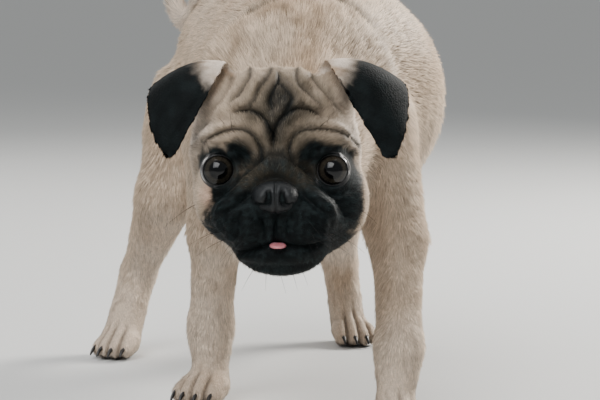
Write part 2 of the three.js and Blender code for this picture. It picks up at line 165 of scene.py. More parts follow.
@dataclass(frozen=True)
class FaceFrame:
    """The frame of the face: across to the dog's left, up the forehead, and forward."""

    origin: np.ndarray
    axes: np.ndarray

    @classmethod
    def from_eyes(cls) -> "FaceFrame":
        """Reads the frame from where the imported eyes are.

        Returns:
            The frame, with its origin between the fronts of the eyes.
        """
        lift = math.radians(4.8)
        eye_depth = 7.6 * MM
        left, right = node_centre("eye_left"), node_centre("eye_right")
        across = unit(left - right)
        flat = np.array([across[1], -across[0], 0.0])
        forward = flat * math.cos(lift) + np.array([0.0, 0.0, math.sin(lift)])
        upward = np.cross(forward, across)
        origin = (left + right) / 2.0 + forward * eye_depth
        return cls(origin, np.array([across, upward, forward]))

    def place_mm(self, points: np.ndarray) -> np.ndarray:
        """Gives points in the face's frame, in millimetres."""
        return (points - self.origin) @ self.axes.T / MM

    def point(self, place_mm: np.ndarray) -> np.ndarray:
        """Gives the world points of places in the face's frame."""
        return np.asarray(place_mm) * MM @ self.axes + self.origin

    def turned(self, directions: np.ndarray) -> np.ndarray:
        """Turns directions of the face's frame into world directions."""
        return np.asarray(directions) @ self.axes


FACE = FaceFrame.from_eyes()
COLLAR_PLACE = np.array([-66.5, -90.0, 229.0]) * MM
COLLAR_NORMAL = np.array([0.012, 0.887, -0.462])


def behind_collar(points: np.ndarray) -> np.ndarray:
    """Gives how far behind the crease that ends the neck's roll points are, in millimetres."""
    return (points - COLLAR_PLACE) @ COLLAR_NORMAL / MM


@dataclass(frozen=True)
class Fold:
    """A crease in the face's skin: its run in millimetres across and up, depth and width."""

    run: tuple[tuple[float, float], ...]
    depth: float
    width: float
    shade: float = 0.6
    roll: float = 0.45

    def distance(self, across: np.ndarray, up: np.ndarray) -> tuple[np.ndarray, np.ndarray]:
        """Measures how far points are from the crease.

        Args:
            across: places across the face.
            up: places up the face.

        Returns:
            The distance, and the share of the way along the crease.
        """
        best = np.full(across.shape, 1e3)
        along = np.zeros(across.shape)
        points = np.array(self.smooth_run())
        spans = len(points) - 1
        for i in range(spans):
            start, line = points[i], points[i + 1] - points[i]
            t = ((across - start[0]) * line[0] + (up - start[1]) * line[1]) / (line @ line)
            t = np.clip(t, 0.0, 1.0)
            gap = np.hypot(across - start[0] - t * line[0], up - start[1] - t * line[1])
            closer = gap < best
            best = np.where(closer, gap, best)
            along = np.where(closer, (i + t) / spans, along)
        return best, along

    def smooth_run(self) -> list[np.ndarray]:
        """Rounds the run's corners with a curve through its points.

        Returns:
            The curve's points.
        """
        points = [np.array(p, dtype=float) for p in self.run]
        points = [2 * points[0] - points[1], *points, 2 * points[-1] - points[-2]]
        steps = 4
        curve = []
        for i in range(1, len(points) - 2):
            a, b, c, d = points[i - 1:i + 3]
            for step in range(steps):
                t = step / steps
                curve.append(0.5 * (2 * b + (c - a) * t + (2 * a - 5 * b + 4 * c - d) * t * t
                                    + (3 * b - a - 3 * c + d) * t ** 3))
        return [*curve, points[-2]]

    def relief(self, across: np.ndarray, up: np.ndarray) -> tuple[np.ndarray, np.ndarray]:
        """Works out the crease's own height and shade.

        Args:
            across: places across the face.
            up: places up the face.

        Returns:
            The height in millimetres, and the shade from 0 to 1.
        """
        gap, along = self.distance(across, up)
        fade = np.sqrt(np.clip(np.minimum(along, 1.0 - along) * 7.0 + 0.12, 0.0, 1.0))
        side = bump(gap, 3.6 * self.width, 2.3 * self.width)
        height = self.depth * (self.roll * side - bump(gap, 0.0, self.width)) * fade
        return height, self.shade * bump(gap, 0.0, 1.15 * self.width) * fade


MOUTH_RUN = ((-32, -43), (-28, -47), (-22, -48.4), (-14, -47.6), (-7, -45.4), (0, -43),
             (8, -44.8), (16, -45.2), (23, -43.8), (29, -41), (33, -37))
ROLL_TOP = ((-45, -28), (-39.5, -22), (-33, -16), (-21.8, -6.6), (-10, 3.6), (-3.5, 7.4),
            (3.5, 7.6), (9.5, 4.2), (19.5, -2.2), (28.8, -10.3), (35.6, -18.3), (41, -26))
ROLL_FOOT = ((-36, -31), (-24.5, -22.6), (-14.5, -14.5), (-7.5, -7.2), (0, -4.8), (7.5, -7.4),
             (17.3, -16), (26.5, -24.1), (35, -31.5))
FOLDS: tuple[Fold, ...] = (
    # brow creases, round the pad over each eye and down towards the nose
    Fold(((-47, 12), (-40, 18.7), (-31, 22.9), (-22, 24.4), (-15.7, 23), (-11, 18), (-8.2, 11),
          (-9, 5), (-15, -0.5)), 2.4, 1.05, 0.8),
    Fold(((54, 9), (50, 15), (45.4, 19.4), (37.7, 22.8), (27, 24.3), (17, 24), (11.8, 21),
          (8.7, 15.6), (8.6, 9.5), (11.8, 3.4)), 2.4, 1.05, 0.8),
    # the V over the nose, and the arms that run out from it
    Fold(((-1.2, 13), (-1.4, 20), (-3.5, 25), (-7.3, 31), (-12.6, 34.8), (-18.7, 35.6),
          (-26, 34)), 2.2, 1.0, 0.85),
    Fold(((-1.2, 13), (-0.9, 20), (0.6, 25.5), (4.2, 31.4), (9.5, 35.2), (15, 36.8), (21, 35.6),
          (28, 32)), 2.4, 1.05, 0.85),
    # the lens above the V
    Fold(((1.5, 60), (1.9, 53), (-1.4, 47), (-3.2, 41), (-1.4, 36)), 1.9, 0.85, 0.85),
    Fold(((1.9, 53), (6, 48), (9.6, 43.6), (9.2, 39.5), (5, 34)), 1.7, 0.85, 0.8),
    # wrinkles that fan down from the crown
    Fold(((-2.4, 69), (-3.2, 60), (-8, 51.5), (-11.2, 46), (-13.6, 40), (-17.4, 36)),
         2.2, 1.1, 0.65),
    Fold(((-15, 69), (-15.6, 60), (-17, 54), (-22, 46), (-28, 40)), 2.1, 1.15, 0.65),
    Fold(((14, 68), (13, 61), (13, 56), (15.8, 50.5), (20.5, 46), (25, 41.4), (29, 36.6)),
         2.1, 1.1, 0.6),
    Fold(((6, 72), (4, 66), (2.6, 61)), 1.3, 0.9, 0.5),
    Fold(((25, 66), (23, 58), (26, 51), (33, 43), (41, 34)), 1.9, 1.2, 0.55),
    Fold(((-26, 60), (-27, 52), (-32, 44), (-39, 35)), 1.5, 1.2, 0.4),
    Fold(((-24, 30), (-33, 30.5), (-42, 26), (-49, 18)), 0.9, 1.4, 0.2),
    Fold(((26, 30), (35, 30), (44, 26), (52, 18)), 0.9, 1.4, 0.2),
    # above and below the roll over the nose
    Fold(ROLL_TOP, 2.3, 1.15, 0.5, 0.5),
    Fold(ROLL_FOOT, 1.9, 1.05, 0.4, 0.5),
    # the split of the upper lip, the mouth, and under the lower lip
    Fold(((-0.2, -24), (0, -32), (-0.2, -42)), 1.7, 0.75, 0.5, 0.8),
    Fold(MOUTH_RUN, 3.0, 0.8, 0.75, 0.3),
    Fold(((-24, -54), (-11, -57), (3, -57.6), (16, -56.6), (28, -52)), 0.9, 1.7, 0.15),
    # lobes of the whisker pads
    Fold(((-19, -25), (-23, -32), (-22, -41)), 1.7, 1.3, 0.3),
    Fold(((20, -26), (24, -33), (23, -40)), 1.6, 1.3, 0.3),
    Fold(((-10.5, -25.5), (-6.5, -29.5), (-5.5, -38)), 1.4, 1.0, 0.3),
    Fold(((9.5, -26), (6, -29.5), (5.5, -38)), 1.4, 1.0, 0.3),
    Fold(((-33, -29), (-30, -35), (-31, -42)), 1.5, 1.3, 0.3),
    Fold(((34, -30), (31, -36), (32, -42)), 1.4, 1.3, 0.3),
)
# soft swellings of the face: across, up, half width, half height, rise
SWELLINGS: tuple[tuple[float, float, float, float, float], ...] = (
    (-26, 15, 9, 6, 1.4), (27, 15, 9, 6, 1.4), (-16, -35, 7, 6, 1.0), (15, -35, 7, 6, 1.0),
    (-29, -36, 5, 7, 0.9), (29, -36, 5, 6, 0.9), (0, 1.5, 9, 5, 1.6), (-17, -9.5, 7, 5, 1.3),
    (18, -9.5, 7, 5, 1.3), (-30, -20, 6, 5, 1.2), (31, -21, 6, 5, 1.2), (2, -51, 20, 3.5, 0.9),
)


@dataclass(frozen=True)
class EyeSize:
    """The eye's sizes in millimetres, in the face's frame."""

    across: float = 34.4
    depth: float = -7.6
    ball: float = 10.8
    opening_wide: float = 9.0
    opening_high: float = 9.0
    iris: float = 8.75
    pupil: float = 5.3
    reach_back: float = -30.0

    def front(self, side: int, across: np.ndarray, up: np.ndarray) -> np.ndarray:
        """Gives how far forward the ball's surface is at a place on the face."""
        gap = (across - side * self.across) ** 2 + up ** 2
        return self.depth + np.sqrt(np.maximum(self.ball ** 2 - gap, 0.0))

    def share(self, side: int, across: np.ndarray, up: np.ndarray) -> np.ndarray:
        """Gives the distance from the eye's middle, as a share of the opening."""
        return np.hypot((across - side * self.across) / self.opening_wide, up / self.opening_high)


EYE = EyeSize()


class Markings:
    """The coat's colours as functions of place, shared by the skin and the tufts."""

    FAWN = linear(206, 184, 161)
    CREAM = linear(222, 205, 188)
    TAN = linear(172, 142, 112)
    SABLE = linear(110, 99, 83)
    # dark brown, for the forehead's dark fur and for painted shade in creases, under the brows and
    # at the paws
    DUSK = linear(40, 38, 34)
    BLACK = linear(4, 9, 10)
    PINK = linear(196, 150, 130)
    # blue-grey, for grizzled hairs on the mask and for painted sheen on the mask and ears
    GREY = linear(33, 42, 43)
    # soft ovals on the face: strength, across, up, half width, half height, softness
    SABLE_BLOTS = ((0.85, 2, 32, 28, 36, 0.6), (0.90, 0, 12, 24, 18, 0.5),
                   (0.40, -27, 15, 17, 10, 0.5), (0.62, 29, 15, 20, 11, 0.5),
                   (0.62, 16, 48, 26, 22, 0.6))
    # dark ovals: the first four are the coat's dark fur; the last two, under the brow rolls beside
    # the nose, are painted shade
    DUSK_BLOTS = ((0.95, 3, 38, 11, 17, 0.6), (0.88, 0, 24, 8, 12, 0.6),
                  (0.88, 0, 6, 16, 10, 0.6), (0.6, 3, 34, 22, 9, 0.7),
                  (0.45, -19, 12, 8, 10, 0.6), (0.45, 19, 12, 9, 10, 0.6))
    MASK_BLOTS = ((1, 0, -34, 45, 33, 0.1), (1, -35, -1, 16.5, 15.5, 0.16),
                  (1, 35, -1, 18, 17, 0.14), (1, -23, 7, 9.5, 11, 0.25),
                  (1, 23, 7, 10.5, 11, 0.25), (1, 0, -6, 28, 12, 0.25),
                  (1, 44, -16, 10, 22, 0.15), (1, 0, -50, 56, 24, 0.08),
                  (1, -27, -15, 13, 12, 0.2), (1, 28, -15, 16, 13, 0.2))
    BARE_BLOTS = ((1, -47.5, -13, 8.5, 12.5, 0.2), (1, 66, -8, 12, 32, 0.25))
    BRIDGE_BLOTS = ((0.2, -14, -3, 13, 7, 0.7), (0.2, 14, -3, 13, 7, 0.7))
    # a pink tint on the dog's right cheek, the side the key light falls on: painted warm light
    WARM_LIGHT_BLOTS = ((0.4, -41, -15, 4, 8, 0.6),)
    EDGE_WAVER = 0.05

    def __init__(self) -> None:
        """Draws the noise that breaks up the edges."""
        self.broad = Waves(60 * MM, SEED)
        self.fine = Waves(9 * MM, SEED + 1)
        self.grizzle_and_sheen = Waves(4.5 * MM, SEED + 2, 40)

    def colour(self, points: np.ndarray, normals: np.ndarray, regions: np.ndarray,
               shade: np.ndarray) -> np.ndarray:
        """Works out the coat's colour, with painted shade in the creases, behind the neck's roll
        and at the paws.

        Args:
            points: places on the skin.
            normals: the skin's normals there.
            regions: the region number of each place.
            shade: how deep in a crease each place is.

        Returns:
            A row of red, green and blue for each place.
        """
        broad, fine = self.broad.at(points), self.fine.at(points)
        under = smoothstep(0.1, -0.8, normals[:, 2])
        low = smoothstep(0.13, 0.03, points[:, 2])
        body = mix(self.FAWN, self.CREAM, np.clip(0.75 * under + 0.45 * low, 0.0, 1.0))
        spine = smoothstep(0.55, 1.0, normals[:, 2]) * (regions != Region.PAW)
        body = mix(body, self.TAN, np.clip(spine * (0.28 + 0.16 * broad), 0.0, 1.0))
        body = mix(body, self.TAN, np.clip(0.07 + 0.1 * broad + 0.06 * fine, 0.0, 1.0))
        neck = (regions == Region.NECK) * smoothstep(-0.1, 0.6, normals[:, 2])
        body = mix(body, self.TAN, neck * np.clip(0.30 + 0.22 * broad + 0.2 * fine, 0.0, 1.0))
        body = mix(body, self.SABLE, neck * np.clip(0.18 + 0.18 * fine, 0.0, 1.0))
        # painted shade: a sable band along the crease behind the neck's roll
        crease_shade_band = bump(behind_collar(points), 3.5 + 2.0 * broad, 6.0)
        crease_shade_band = crease_shade_band * smoothstep(0.19, 0.235, points[:, 2]) * (regions != Region.TAIL)
        body = mix(body, self.SABLE, np.clip((0.6 + 0.15 * fine) * crease_shade_band, 0.0, 1.0))
        body = mix(body, self.CREAM, 0.7 * (regions == Region.TAIL))
        # painted shade darkens the creases and the gaps between the toes
        body = mix(body, self.DUSK, np.clip(shade, 0.0, 0.9))
        face = self.face(points, fine, shade)
        on_head = np.isin(regions, FACE_REGIONS)
        body = np.where(on_head[:, None], face, body)
        ear = self.ear(points, fine)
        body = np.where((regions == Region.EAR)[:, None], ear, body)
        # painted shade: each paw darker within 6 mm of the floor
        floor_shade = (regions == Region.PAW) * smoothstep(0.006, 0.0, points[:, 2])
        return mix(body, self.DUSK, 0.75 * floor_shade)

    def ear(self, points: np.ndarray, fine: np.ndarray) -> np.ndarray:
        """Colours the ears: pale at the root, black on the flap.

        Args:
            points: places on the skin.
            fine: the fine noise there.

        Returns:
            A row of red, green and blue for each place.
        """
        across, up, _ = FACE.place_mm(points).T
        past_root = np.abs(across) - 0.55 * (up - 52.0)
        black = smoothstep(31.0, 47.0, past_root + 1.3 * fine)
        black = np.maximum(black, smoothstep(57.0, 44.0, up + 1.5 * fine))
        pale = mix(self.CREAM, self.TAN, np.clip(0.25 + 0.3 * fine, 0.0, 1.0))
        # black flap with a little blue-grey, painted sheen of the velvet
        velvet = mix(self.BLACK, self.GREY, np.clip(0.05 + 0.12 * fine, 0.0, 0.4))
        return mix(pale, velvet, black)

    def face(self, points: np.ndarray, fine: np.ndarray, shade: np.ndarray) -> np.ndarray:
        """Colours the head: fawn forehead and cheeks, sable brow, black mask, and painted shade in
        the creases.

        Args:
            points: places on the skin.
            fine: the fine noise there.
            shade: how deep in a crease each place is.

        Returns:
            A row of red, green and blue for each place.
        """
        across, up, ahead = FACE.place_mm(points).T
        front = smoothstep(-58.0, -34.0, ahead)
        pale = smoothstep(30.0, 48.0, np.abs(across)) * smoothstep(-8.0, 16.0, up)
        colour = mix(self.FAWN, self.CREAM, 0.8 * pale * front)

        def blots(rows: Rows) -> np.ndarray:
            """The strongest at each place of some soft ovals.

            Args:
                rows: the ovals.

            Returns:
                The strength at each place.
            """
            return np.maximum.reduce([
                strength * smoothstep(1.0 + soft, 1.0 - soft, self.EDGE_WAVER * fine
                                      + np.hypot((across - x) / wide, (up - y) / high))
                for strength, x, y, wide, high, soft in rows])

        sable = blots(self.SABLE_BLOTS)
        colour = mix(colour, self.SABLE, np.clip(sable + 0.08 * fine, 0.0, 1.0) * front)
        # dark fur of the forehead and nose bridge, with painted shade under the brow rolls
        dusk = blots(self.DUSK_BLOTS)
        colour = mix(colour, self.DUSK, np.clip(dusk + 0.05 * fine * (dusk > 0.1), 0, 1) * front)
        bare = smoothstep(-20.0, -36.0, ahead) * smoothstep(-44.0, -33.0, up)
        bare = np.maximum(blots(self.BARE_BLOTS), bare)
        mask = np.clip(blots(self.MASK_BLOTS) - bare, 0.0, 1.0) * smoothstep(-62.0, -40.0, ahead)
        colour = mix(colour, mix(self.BLACK, self.SABLE, blots(self.BRIDGE_BLOTS)), mask)
        # grey flecks on the mask: grizzled hairs, and painted sheen on the black hair
        grizzle_and_sheen = np.clip(0.10 + 0.5 * self.grizzle_and_sheen.at(points), 0.0, 0.5)
        colour = mix(colour, self.GREY, grizzle_and_sheen * mask)
        # painted warm light: a pink tint on the lit right cheek
        colour = mix(colour, self.PINK, blots(self.WARM_LIGHT_BLOTS) * (1.0 - mask))
        # painted shade: the creases drawn near black
        return mix(colour, self.BLACK, np.clip(1.15 * shade, 0.0, 0.95))


@dataclass(frozen=True)
class Lie:
    """How one region's coat grows."""

    depth: float
    length: float
    width: float
    lift: float
    density: float


COAT: dict[Region, Lie] = {
    Region.HEAD: Lie(1.2 * MM, 3.2 * MM, 0.38 * MM, 17.0, 2.6),
    Region.EAR: Lie(0.5 * MM, 1.8 * MM, 0.36 * MM, 8.0, 2.4),
    Region.NECK: Lie(3.0 * MM, 10.0 * MM, 0.75 * MM, 20.0, 1.2),
    Region.TORSO: Lie(2.4 * MM, 8.5 * MM, 0.80 * MM, 14.0, 1.0),
    Region.UPPER_LEG: Lie(2.1 * MM, 7.5 * MM, 0.75 * MM, 14.0, 1.1),
    Region.LOWER_LEG: Lie(1.6 * MM, 5.5 * MM, 0.62 * MM, 13.0, 1.35),
    Region.PAW: Lie(1.0 * MM, 3.8 * MM, 0.50 * MM, 13.0, 1.9),
    Region.TAIL: Lie(2.2 * MM, 9.0 * MM, 0.75 * MM, 22.0, 1.3),
    Region.EYE: Lie(0.8 * MM, 2.4 * MM, 0.40 * MM, 14.0, 1.5),
}


def per_region(name: str, regions: np.ndarray) -> np.ndarray:
    """Looks up one of the coat's sizes for each place's region."""
    table = np.array([getattr(COAT[region], name) for region in Region])
    return table[regions]


class Net:
    """A skin's points and edges as arrays, for smoothing values over the surface."""

    def __init__(self, mesh: bpy.types.Mesh) -> None:
        """Reads the mesh.

        Args:
            mesh: the mesh to read.
        """
        self.mesh = mesh
        count = len(mesh.vertices)
        self.points = np.empty(count * 3)
        mesh.vertices.foreach_get("co", self.points)
        self.points = self.points.reshape(-1, 3)
        ends = np.empty(len(mesh.edges) * 2, dtype=np.int64)
        mesh.edges.foreach_get("vertices", ends)
        self.starts, self.stops = ends.reshape(-1, 2).T
        self.degree = np.bincount(self.starts, minlength=count).astype(float)
        self.degree += np.bincount(self.stops, minlength=count)
        self.degree = np.maximum(self.degree, 1.0)

    def average(self, values: np.ndarray) -> np.ndarray:
        """Gives the mean of each point's neighbours.

        Args:
            values: one value or row for each point.

        Returns:
            The means.
        """
        count = len(self.degree)
        columns = []
        for column in np.atleast_2d(values.T):
            total = np.bincount(self.starts, weights=column[self.stops], minlength=count)
            total += np.bincount(self.stops, weights=column[self.starts], minlength=count)
            columns.append(total / self.degree)
        return np.array(columns).T.reshape(values.shape)

    def smooth(self, values: np.ndarray, rounds: int,
               share: np.ndarray | float = 0.5) -> np.ndarray:
        """Smooths values over the surface.

        Args:
            values: one value or row for each point.
            rounds: how many times.
            share: how far each point moves to its neighbours' mean.

        Returns:
            The smoothed values.
        """
        if isinstance(share, np.ndarray) and values.ndim == 2:
            share = share[:, None]
        for _ in range(rounds):
            values = values + (self.average(values) - values) * share
        return values

    def write(self) -> None:
        """Puts the points back into the mesh."""
        self.mesh.vertices.foreach_set("co", self.points.ravel())
        self.mesh.update()

    def normals(self) -> np.ndarray:
        """Gives the normals at the points as they are now.

        Returns:
            A row for each point.
        """
        self.write()
        flat = np.empty(len(self.points) * 3, dtype=np.float32)
        self.mesh.vertex_normals.foreach_get("vector", flat)
        return flat.reshape(-1, 3).astype(float)


def link(name: str, mesh: bpy.types.Mesh, material: bpy.types.Material) -> bpy.types.Object:
    """Makes a finished piece of a mesh.

    Args:
        name: the piece's name.
        mesh: its mesh, in place.
        material: its finish.

    Returns:
        The object, riding on the body.
    """
    piece = stage_object(name, mesh)
    mesh.materials.clear()
    mesh.materials.append(material)
    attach(piece, "root")
    LOG.info("%s: %d faces", name, len(mesh.polygons))
    return piece


def set_colours(mesh: bpy.types.Mesh, colours: np.ndarray) -> None:
    """Stores a colour for each point of a mesh in the attribute that the materials read.

    Args:
        mesh: the mesh.
        colours: a row of scene values for each point.
    """
    rows = np.ones((len(colours), 4), dtype=np.float32)
    rows[:, :3] = np.clip(colours, 0.0, 1.0)
    layer = mesh.color_attributes.new(COLOUR_LAYER, "FLOAT_COLOR", "POINT")
    layer.data.foreach_set("color", rows.ravel())


def mesh_of(shape: bmesh.types.BMesh, name: str) -> bpy.types.Mesh:
    """Turns a shape into a mesh with smooth shading, and frees the shape.

    Args:
        shape: the shape.
        name: the mesh's name.

    Returns:
        The mesh.
    """
    mesh = bpy.data.meshes.new(name)
    shape.to_mesh(mesh)
    shape.free()
    mesh.shade_smooth()
    return mesh


def take_in(whole: bmesh.types.BMesh, part: bpy.types.Mesh) -> None:
    """Adds a mesh to a shape and removes the mesh."""
    whole.from_mesh(part)
    bpy.data.meshes.remove(part)


def stage_object(name: str, data: bpy.types.ID) -> bpy.types.Object:
    """Puts a new object with the given data into the scene.

    Args:
        name: the object's name.
        data: its mesh, lens or lamp.

    Returns:
        The object.
    """
    made = bpy.data.objects.new(name, data)
    bpy.context.scene.collection.objects.link(made)
    return made


def remeshed(mesh: bpy.types.Mesh, voxel: float) -> bpy.types.Mesh:
    """Makes one even closed surface of closed pieces that touch or cross.

    Args:
        mesh: the pieces' mesh.
        voxel: the size of the new faces.

    Returns:
        A new mesh.
    """
    carrier = stage_object("carrier", mesh)
    modifier = carrier.modifiers.new("even", "REMESH")
    modifier.mode = "VOXEL"
    modifier.voxel_size = voxel
    depsgraph = bpy.context.evaluated_depsgraph_get()
    made = bpy.data.meshes.new_from_object(carrier.evaluated_get(depsgraph), depsgraph=depsgraph)
    bpy.data.objects.remove(carrier)
    return made


def merged_copy(node: str, grow: float) -> bmesh.types.BMesh:
    """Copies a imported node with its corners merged, grown along its normals.

    Args:
        node: the node's name.
        grow: how far each point moves out.

    Returns:
        The copy, which the caller frees.
    """
    copy = bmesh.new()
    copy.from_mesh(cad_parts[node].data)
    bmesh.ops.remove_doubles(copy, verts=copy.verts, dist=1e-6)
    copy.normal_update()
    for vertex in copy.verts:
        vertex.co += vertex.normal * grow
    return copy


def joined_copies(name: str, nodes: list[str], grow: float) -> bpy.types.Mesh:
    """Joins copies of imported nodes, grown along their normals, into one mesh.

    Args:
        name: the mesh's name.
        nodes: the nodes' names.
        grow: how far each point moves out.

    Returns:
        The mesh.
    """
    whole = bmesh.new()
    for node in nodes:
        take_in(whole, mesh_of(merged_copy(node, grow), node))
    return mesh_of(whole, name)


@dataclass
class Skin:
    """The one skin over all of the flesh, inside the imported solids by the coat's depth."""

    markings: Markings
    voxel: float = 2.2 * MM
    overlap: float = 0.45 * MM
    face_back_mm: float = -42.0
    face_half_width_mm: float = 62.0
    face_foot_mm: float = -70.0
    face_top_mm: float = 72.0
    kept_share: float = 0.6
    # the skin takes the coat's colour darkened by this share: painted shade beneath the tufts
    shade_under_coat: float = 0.82
    body_smoothing: float = 0.62
    body_rounds: int = 34
    ear_smoothing: float = 0.6
    ear_rounds: int = 60
    grow_back: float = 1.02
    blend_reach: int = 60
    blend_rounds: int = 55
    neck_roll_mm: float = 2.0
    neck_crease_mm: float = 2.6
    ear_roll_mm: float = 0.9
    ear_hollow_mm: float = 1.3
    loose_ear_mm: float = 3.5
    # the front edge of an ear: across, up, and the share of the left ear's looseness there
    ear_edge: Rows = ((27, 66, 0.0), (34, 54, 0.4), (44, 36, 0.6), (54, 19, 0.8), (61, 6, 1.0))
    toe_gap_mm: float = 2.3
    toe_rise_mm: float = 0.9
    paw_reach: float = 36 * MM
    sole: float = 12 * MM

    def __post_init__(self) -> None:
        """Shapes and colours the skin."""
        skipped = ("claw", "tongue")
        self.nodes = [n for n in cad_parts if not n.startswith(skipped)]
        self.flesh = [n for n in self.nodes if not n.startswith(("eye", "nose"))]
        self.tree, self.tree_regions = self.packed_tree()
        mesh = remeshed(joined_copies("skin", self.nodes, self.overlap), self.voxel)
        net = Net(mesh)
        self.settle(net, self.regions(net.points))
        self.refine(mesh)
        net = Net(mesh)
        self.number = self.regions(net.points)
        self.polish(net)
        self.inset(net)
        self.roll_ears(net)
        self.shade = np.maximum(self.fold_face(net), self.roll_neck(net))
        self.shade = np.maximum(self.shade, self.part_toes(net))
        self.open_eyes(net)
        self.stand(net)
        self.net = net
        self.normal = net.normals()
        self.colour = self.markings.colour(net.points, self.normal, self.number, self.shade)
        self.lie = self.lay_of_coat(net)
        self.mesh = mesh

    def packed_tree(self) -> tuple[BVHTree, np.ndarray]:
        """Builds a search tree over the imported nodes.

        Returns:
            The tree, and the region number of each of its faces.
        """
        corners, faces, regions = [], [], []
        for node in self.nodes:
            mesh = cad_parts[node].data
            first = len(corners)
            corners.extend(v.co.copy() for v in mesh.vertices)
            faces.extend([first + i for i in p.vertices] for p in mesh.polygons)
            regions.extend([region_of(node)] * len(mesh.polygons))
        return BVHTree.FromPolygons(corners, faces), np.array(regions)

    def regions(self, points: np.ndarray) -> np.ndarray:
        """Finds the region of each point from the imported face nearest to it."""
        faces = [self.tree.find_nearest(Vector(p))[2] for p in points]
        return self.tree_regions[faces]

    def settle(self, net: Net, regions: np.ndarray) -> None:
        """Smooths away the facets and the steps where nodes meet, without shrinking.

        Args:
            net: the skin's points, which are moved.
            regions: the region number of each point.
        """
        share = np.full(len(regions), self.body_smoothing)
        for region, kept in ((Region.EAR, 0.48), (Region.PAW, 0.15), (Region.HEAD, 0.42),
                             (Region.EYE, 0.42)):
            share[regions == region] = kept
        share = net.smooth(share, 8)
        for _ in range(self.body_rounds):
            net.points = net.smooth(net.points, 1, share)
            net.points = net.smooth(net.points, 1, -share * self.grow_back)
        net.points = net.smooth(net.points, 3, share * 0.8)
        limb = net.smooth((regions == Region.UPPER_LEG).astype(float), self.blend_reach)
        trunk = np.isin(regions, (Region.TORSO, Region.NECK)).astype(float)
        border = np.clip(5.0 * limb * net.smooth(trunk, self.blend_reach), 0.0, 1.0)
        net.points = net.smooth(net.points, self.blend_rounds, self.body_smoothing * border)
        net.write()

    def refine(self, mesh: bpy.types.Mesh) -> None:
        """Splits the faces of the front of the head, for the folds, and of ears and paws.

        Args:
            mesh: the skin's mesh, which is changed.
        """
        shape = bmesh.new()
        shape.from_mesh(mesh)
        centres = np.array([f.calc_center_median() for f in shape.faces])
        across, up, ahead = FACE.place_mm(centres).T
        fine = (ahead > self.face_back_mm) & (np.abs(across) < self.face_half_width_mm)
        fine &= (up > self.face_foot_mm) & (up < self.face_top_mm)
        fine |= np.isin(self.regions(centres), (Region.EAR, Region.PAW))
        shape.faces.ensure_lookup_table()
        edges = {e for i in np.flatnonzero(fine) for e in shape.faces[int(i)].edges}
        bmesh.ops.subdivide_edges(shape, edges=list(edges), cuts=1, use_grid_fill=True)
        shape.to_mesh(mesh)
        shape.free()

    def polish(self, net: Net) -> None:
        """Smooths the split faces once more, the ears the most.

        Args:
            net: the skin's points, which are moved.
        """
        ears = net.smooth((self.number == Region.EAR) * self.ear_smoothing, 2)
        for _ in range(self.ear_rounds):
            net.points = net.smooth(net.points, 1, ears)
            net.points = net.smooth(net.points, 1, -ears * self.grow_back)
        net.points = net.smooth(net.points, 3, np.where(ears > 0.1, 0.2, 0.5))
        net.write()

    def inset(self, net: Net) -> None:
        """Draws the skin in by the depth of the coat."""
        depth = net.smooth(per_region("depth", self.number), 12) + self.overlap
        net.points = net.points - net.normals() * depth[:, None]

    def fold_face(self, net: Net) -> np.ndarray:
        """Presses the creases and rolls into the face.

        Args:
            net: the skin's points, which are moved.

        Returns:
            How deep in a crease each point is, from 0 to 1.
        """
        normals = net.normals()
        across, up, ahead = FACE.place_mm(net.points).T
        on_head = np.isin(self.number, FACE_REGIONS)
        front = on_head * smoothstep(-56.0, -30.0, ahead)
        height = np.zeros(len(net.points))
        shade = np.zeros(len(net.points))
        for fold in FOLDS:
            rise, dark = fold.relief(across, up)
            height += rise
            shade = np.maximum(shade, dark)
        for x, y, wide, high, rise in SWELLINGS:
            reach = ((across - x) / wide) ** 2 + ((up - y) / high) ** 2
            height += rise * np.exp(-0.5 * reach)
        height = net.smooth(height * front * smoothstep(0.1, 0.5, normals @ FACE.axes[2]), 1)
        net.points = net.points + normals * (height * MM)[:, None]
        return shade * front

    def roll_ears(self, net: Net) -> None:
        """Rolls the front edge of each ear and hollows the flap beside it.

        Args:
            net: the skin's points, which are moved.
        """
        across, up, _ = FACE.place_mm(net.points).T
        normals = net.normals()
        facing = smoothstep(0.0, 0.5, normals @ FACE.axes[2]) * (self.number == Region.EAR)
        facing = facing * smoothstep(60.0, 46.0, up)
        for side in SIDES.values():
            loose = self.loose_ear_mm * (side > 0)
            edge = Fold(tuple((side * (x + slack * loose), y) for x, y, slack in self.ear_edge),
                        1.0, 1.0)
            gap = edge.distance(across, up)[0]
            rise = self.ear_roll_mm * bump(gap, 1.2, 1.3)
            rise -= self.ear_hollow_mm * bump(gap, 5.5, 2.0)
            height = net.smooth(rise * facing * (across * side > 0), 1)
            net.points = net.points + normals * (height * MM)[:, None]

    def roll_neck(self, net: Net) -> np.ndarray:
        """Raises the loose roll behind the head and sinks the crease that ends it.

        Args:
            net: the skin's points, which are moved.

        Returns:
            How deep in the crease each point is.
        """
        behind = behind_collar(net.points)
        here = np.isin(self.number, (Region.NECK, Region.TORSO, Region.UPPER_LEG))
        here = net.smooth(here * smoothstep(0.19, 0.245, net.points[:, 2]), 6)
        crease = bump(behind, 1.0, 3.2) * here
        roll = bump(behind, -9.0, 6.0) * here
        height = net.smooth(self.neck_roll_mm * roll - self.neck_crease_mm * crease, 3)
        net.points = net.points + net.normals() * (height * MM)[:, None]
        return 0.55 * crease

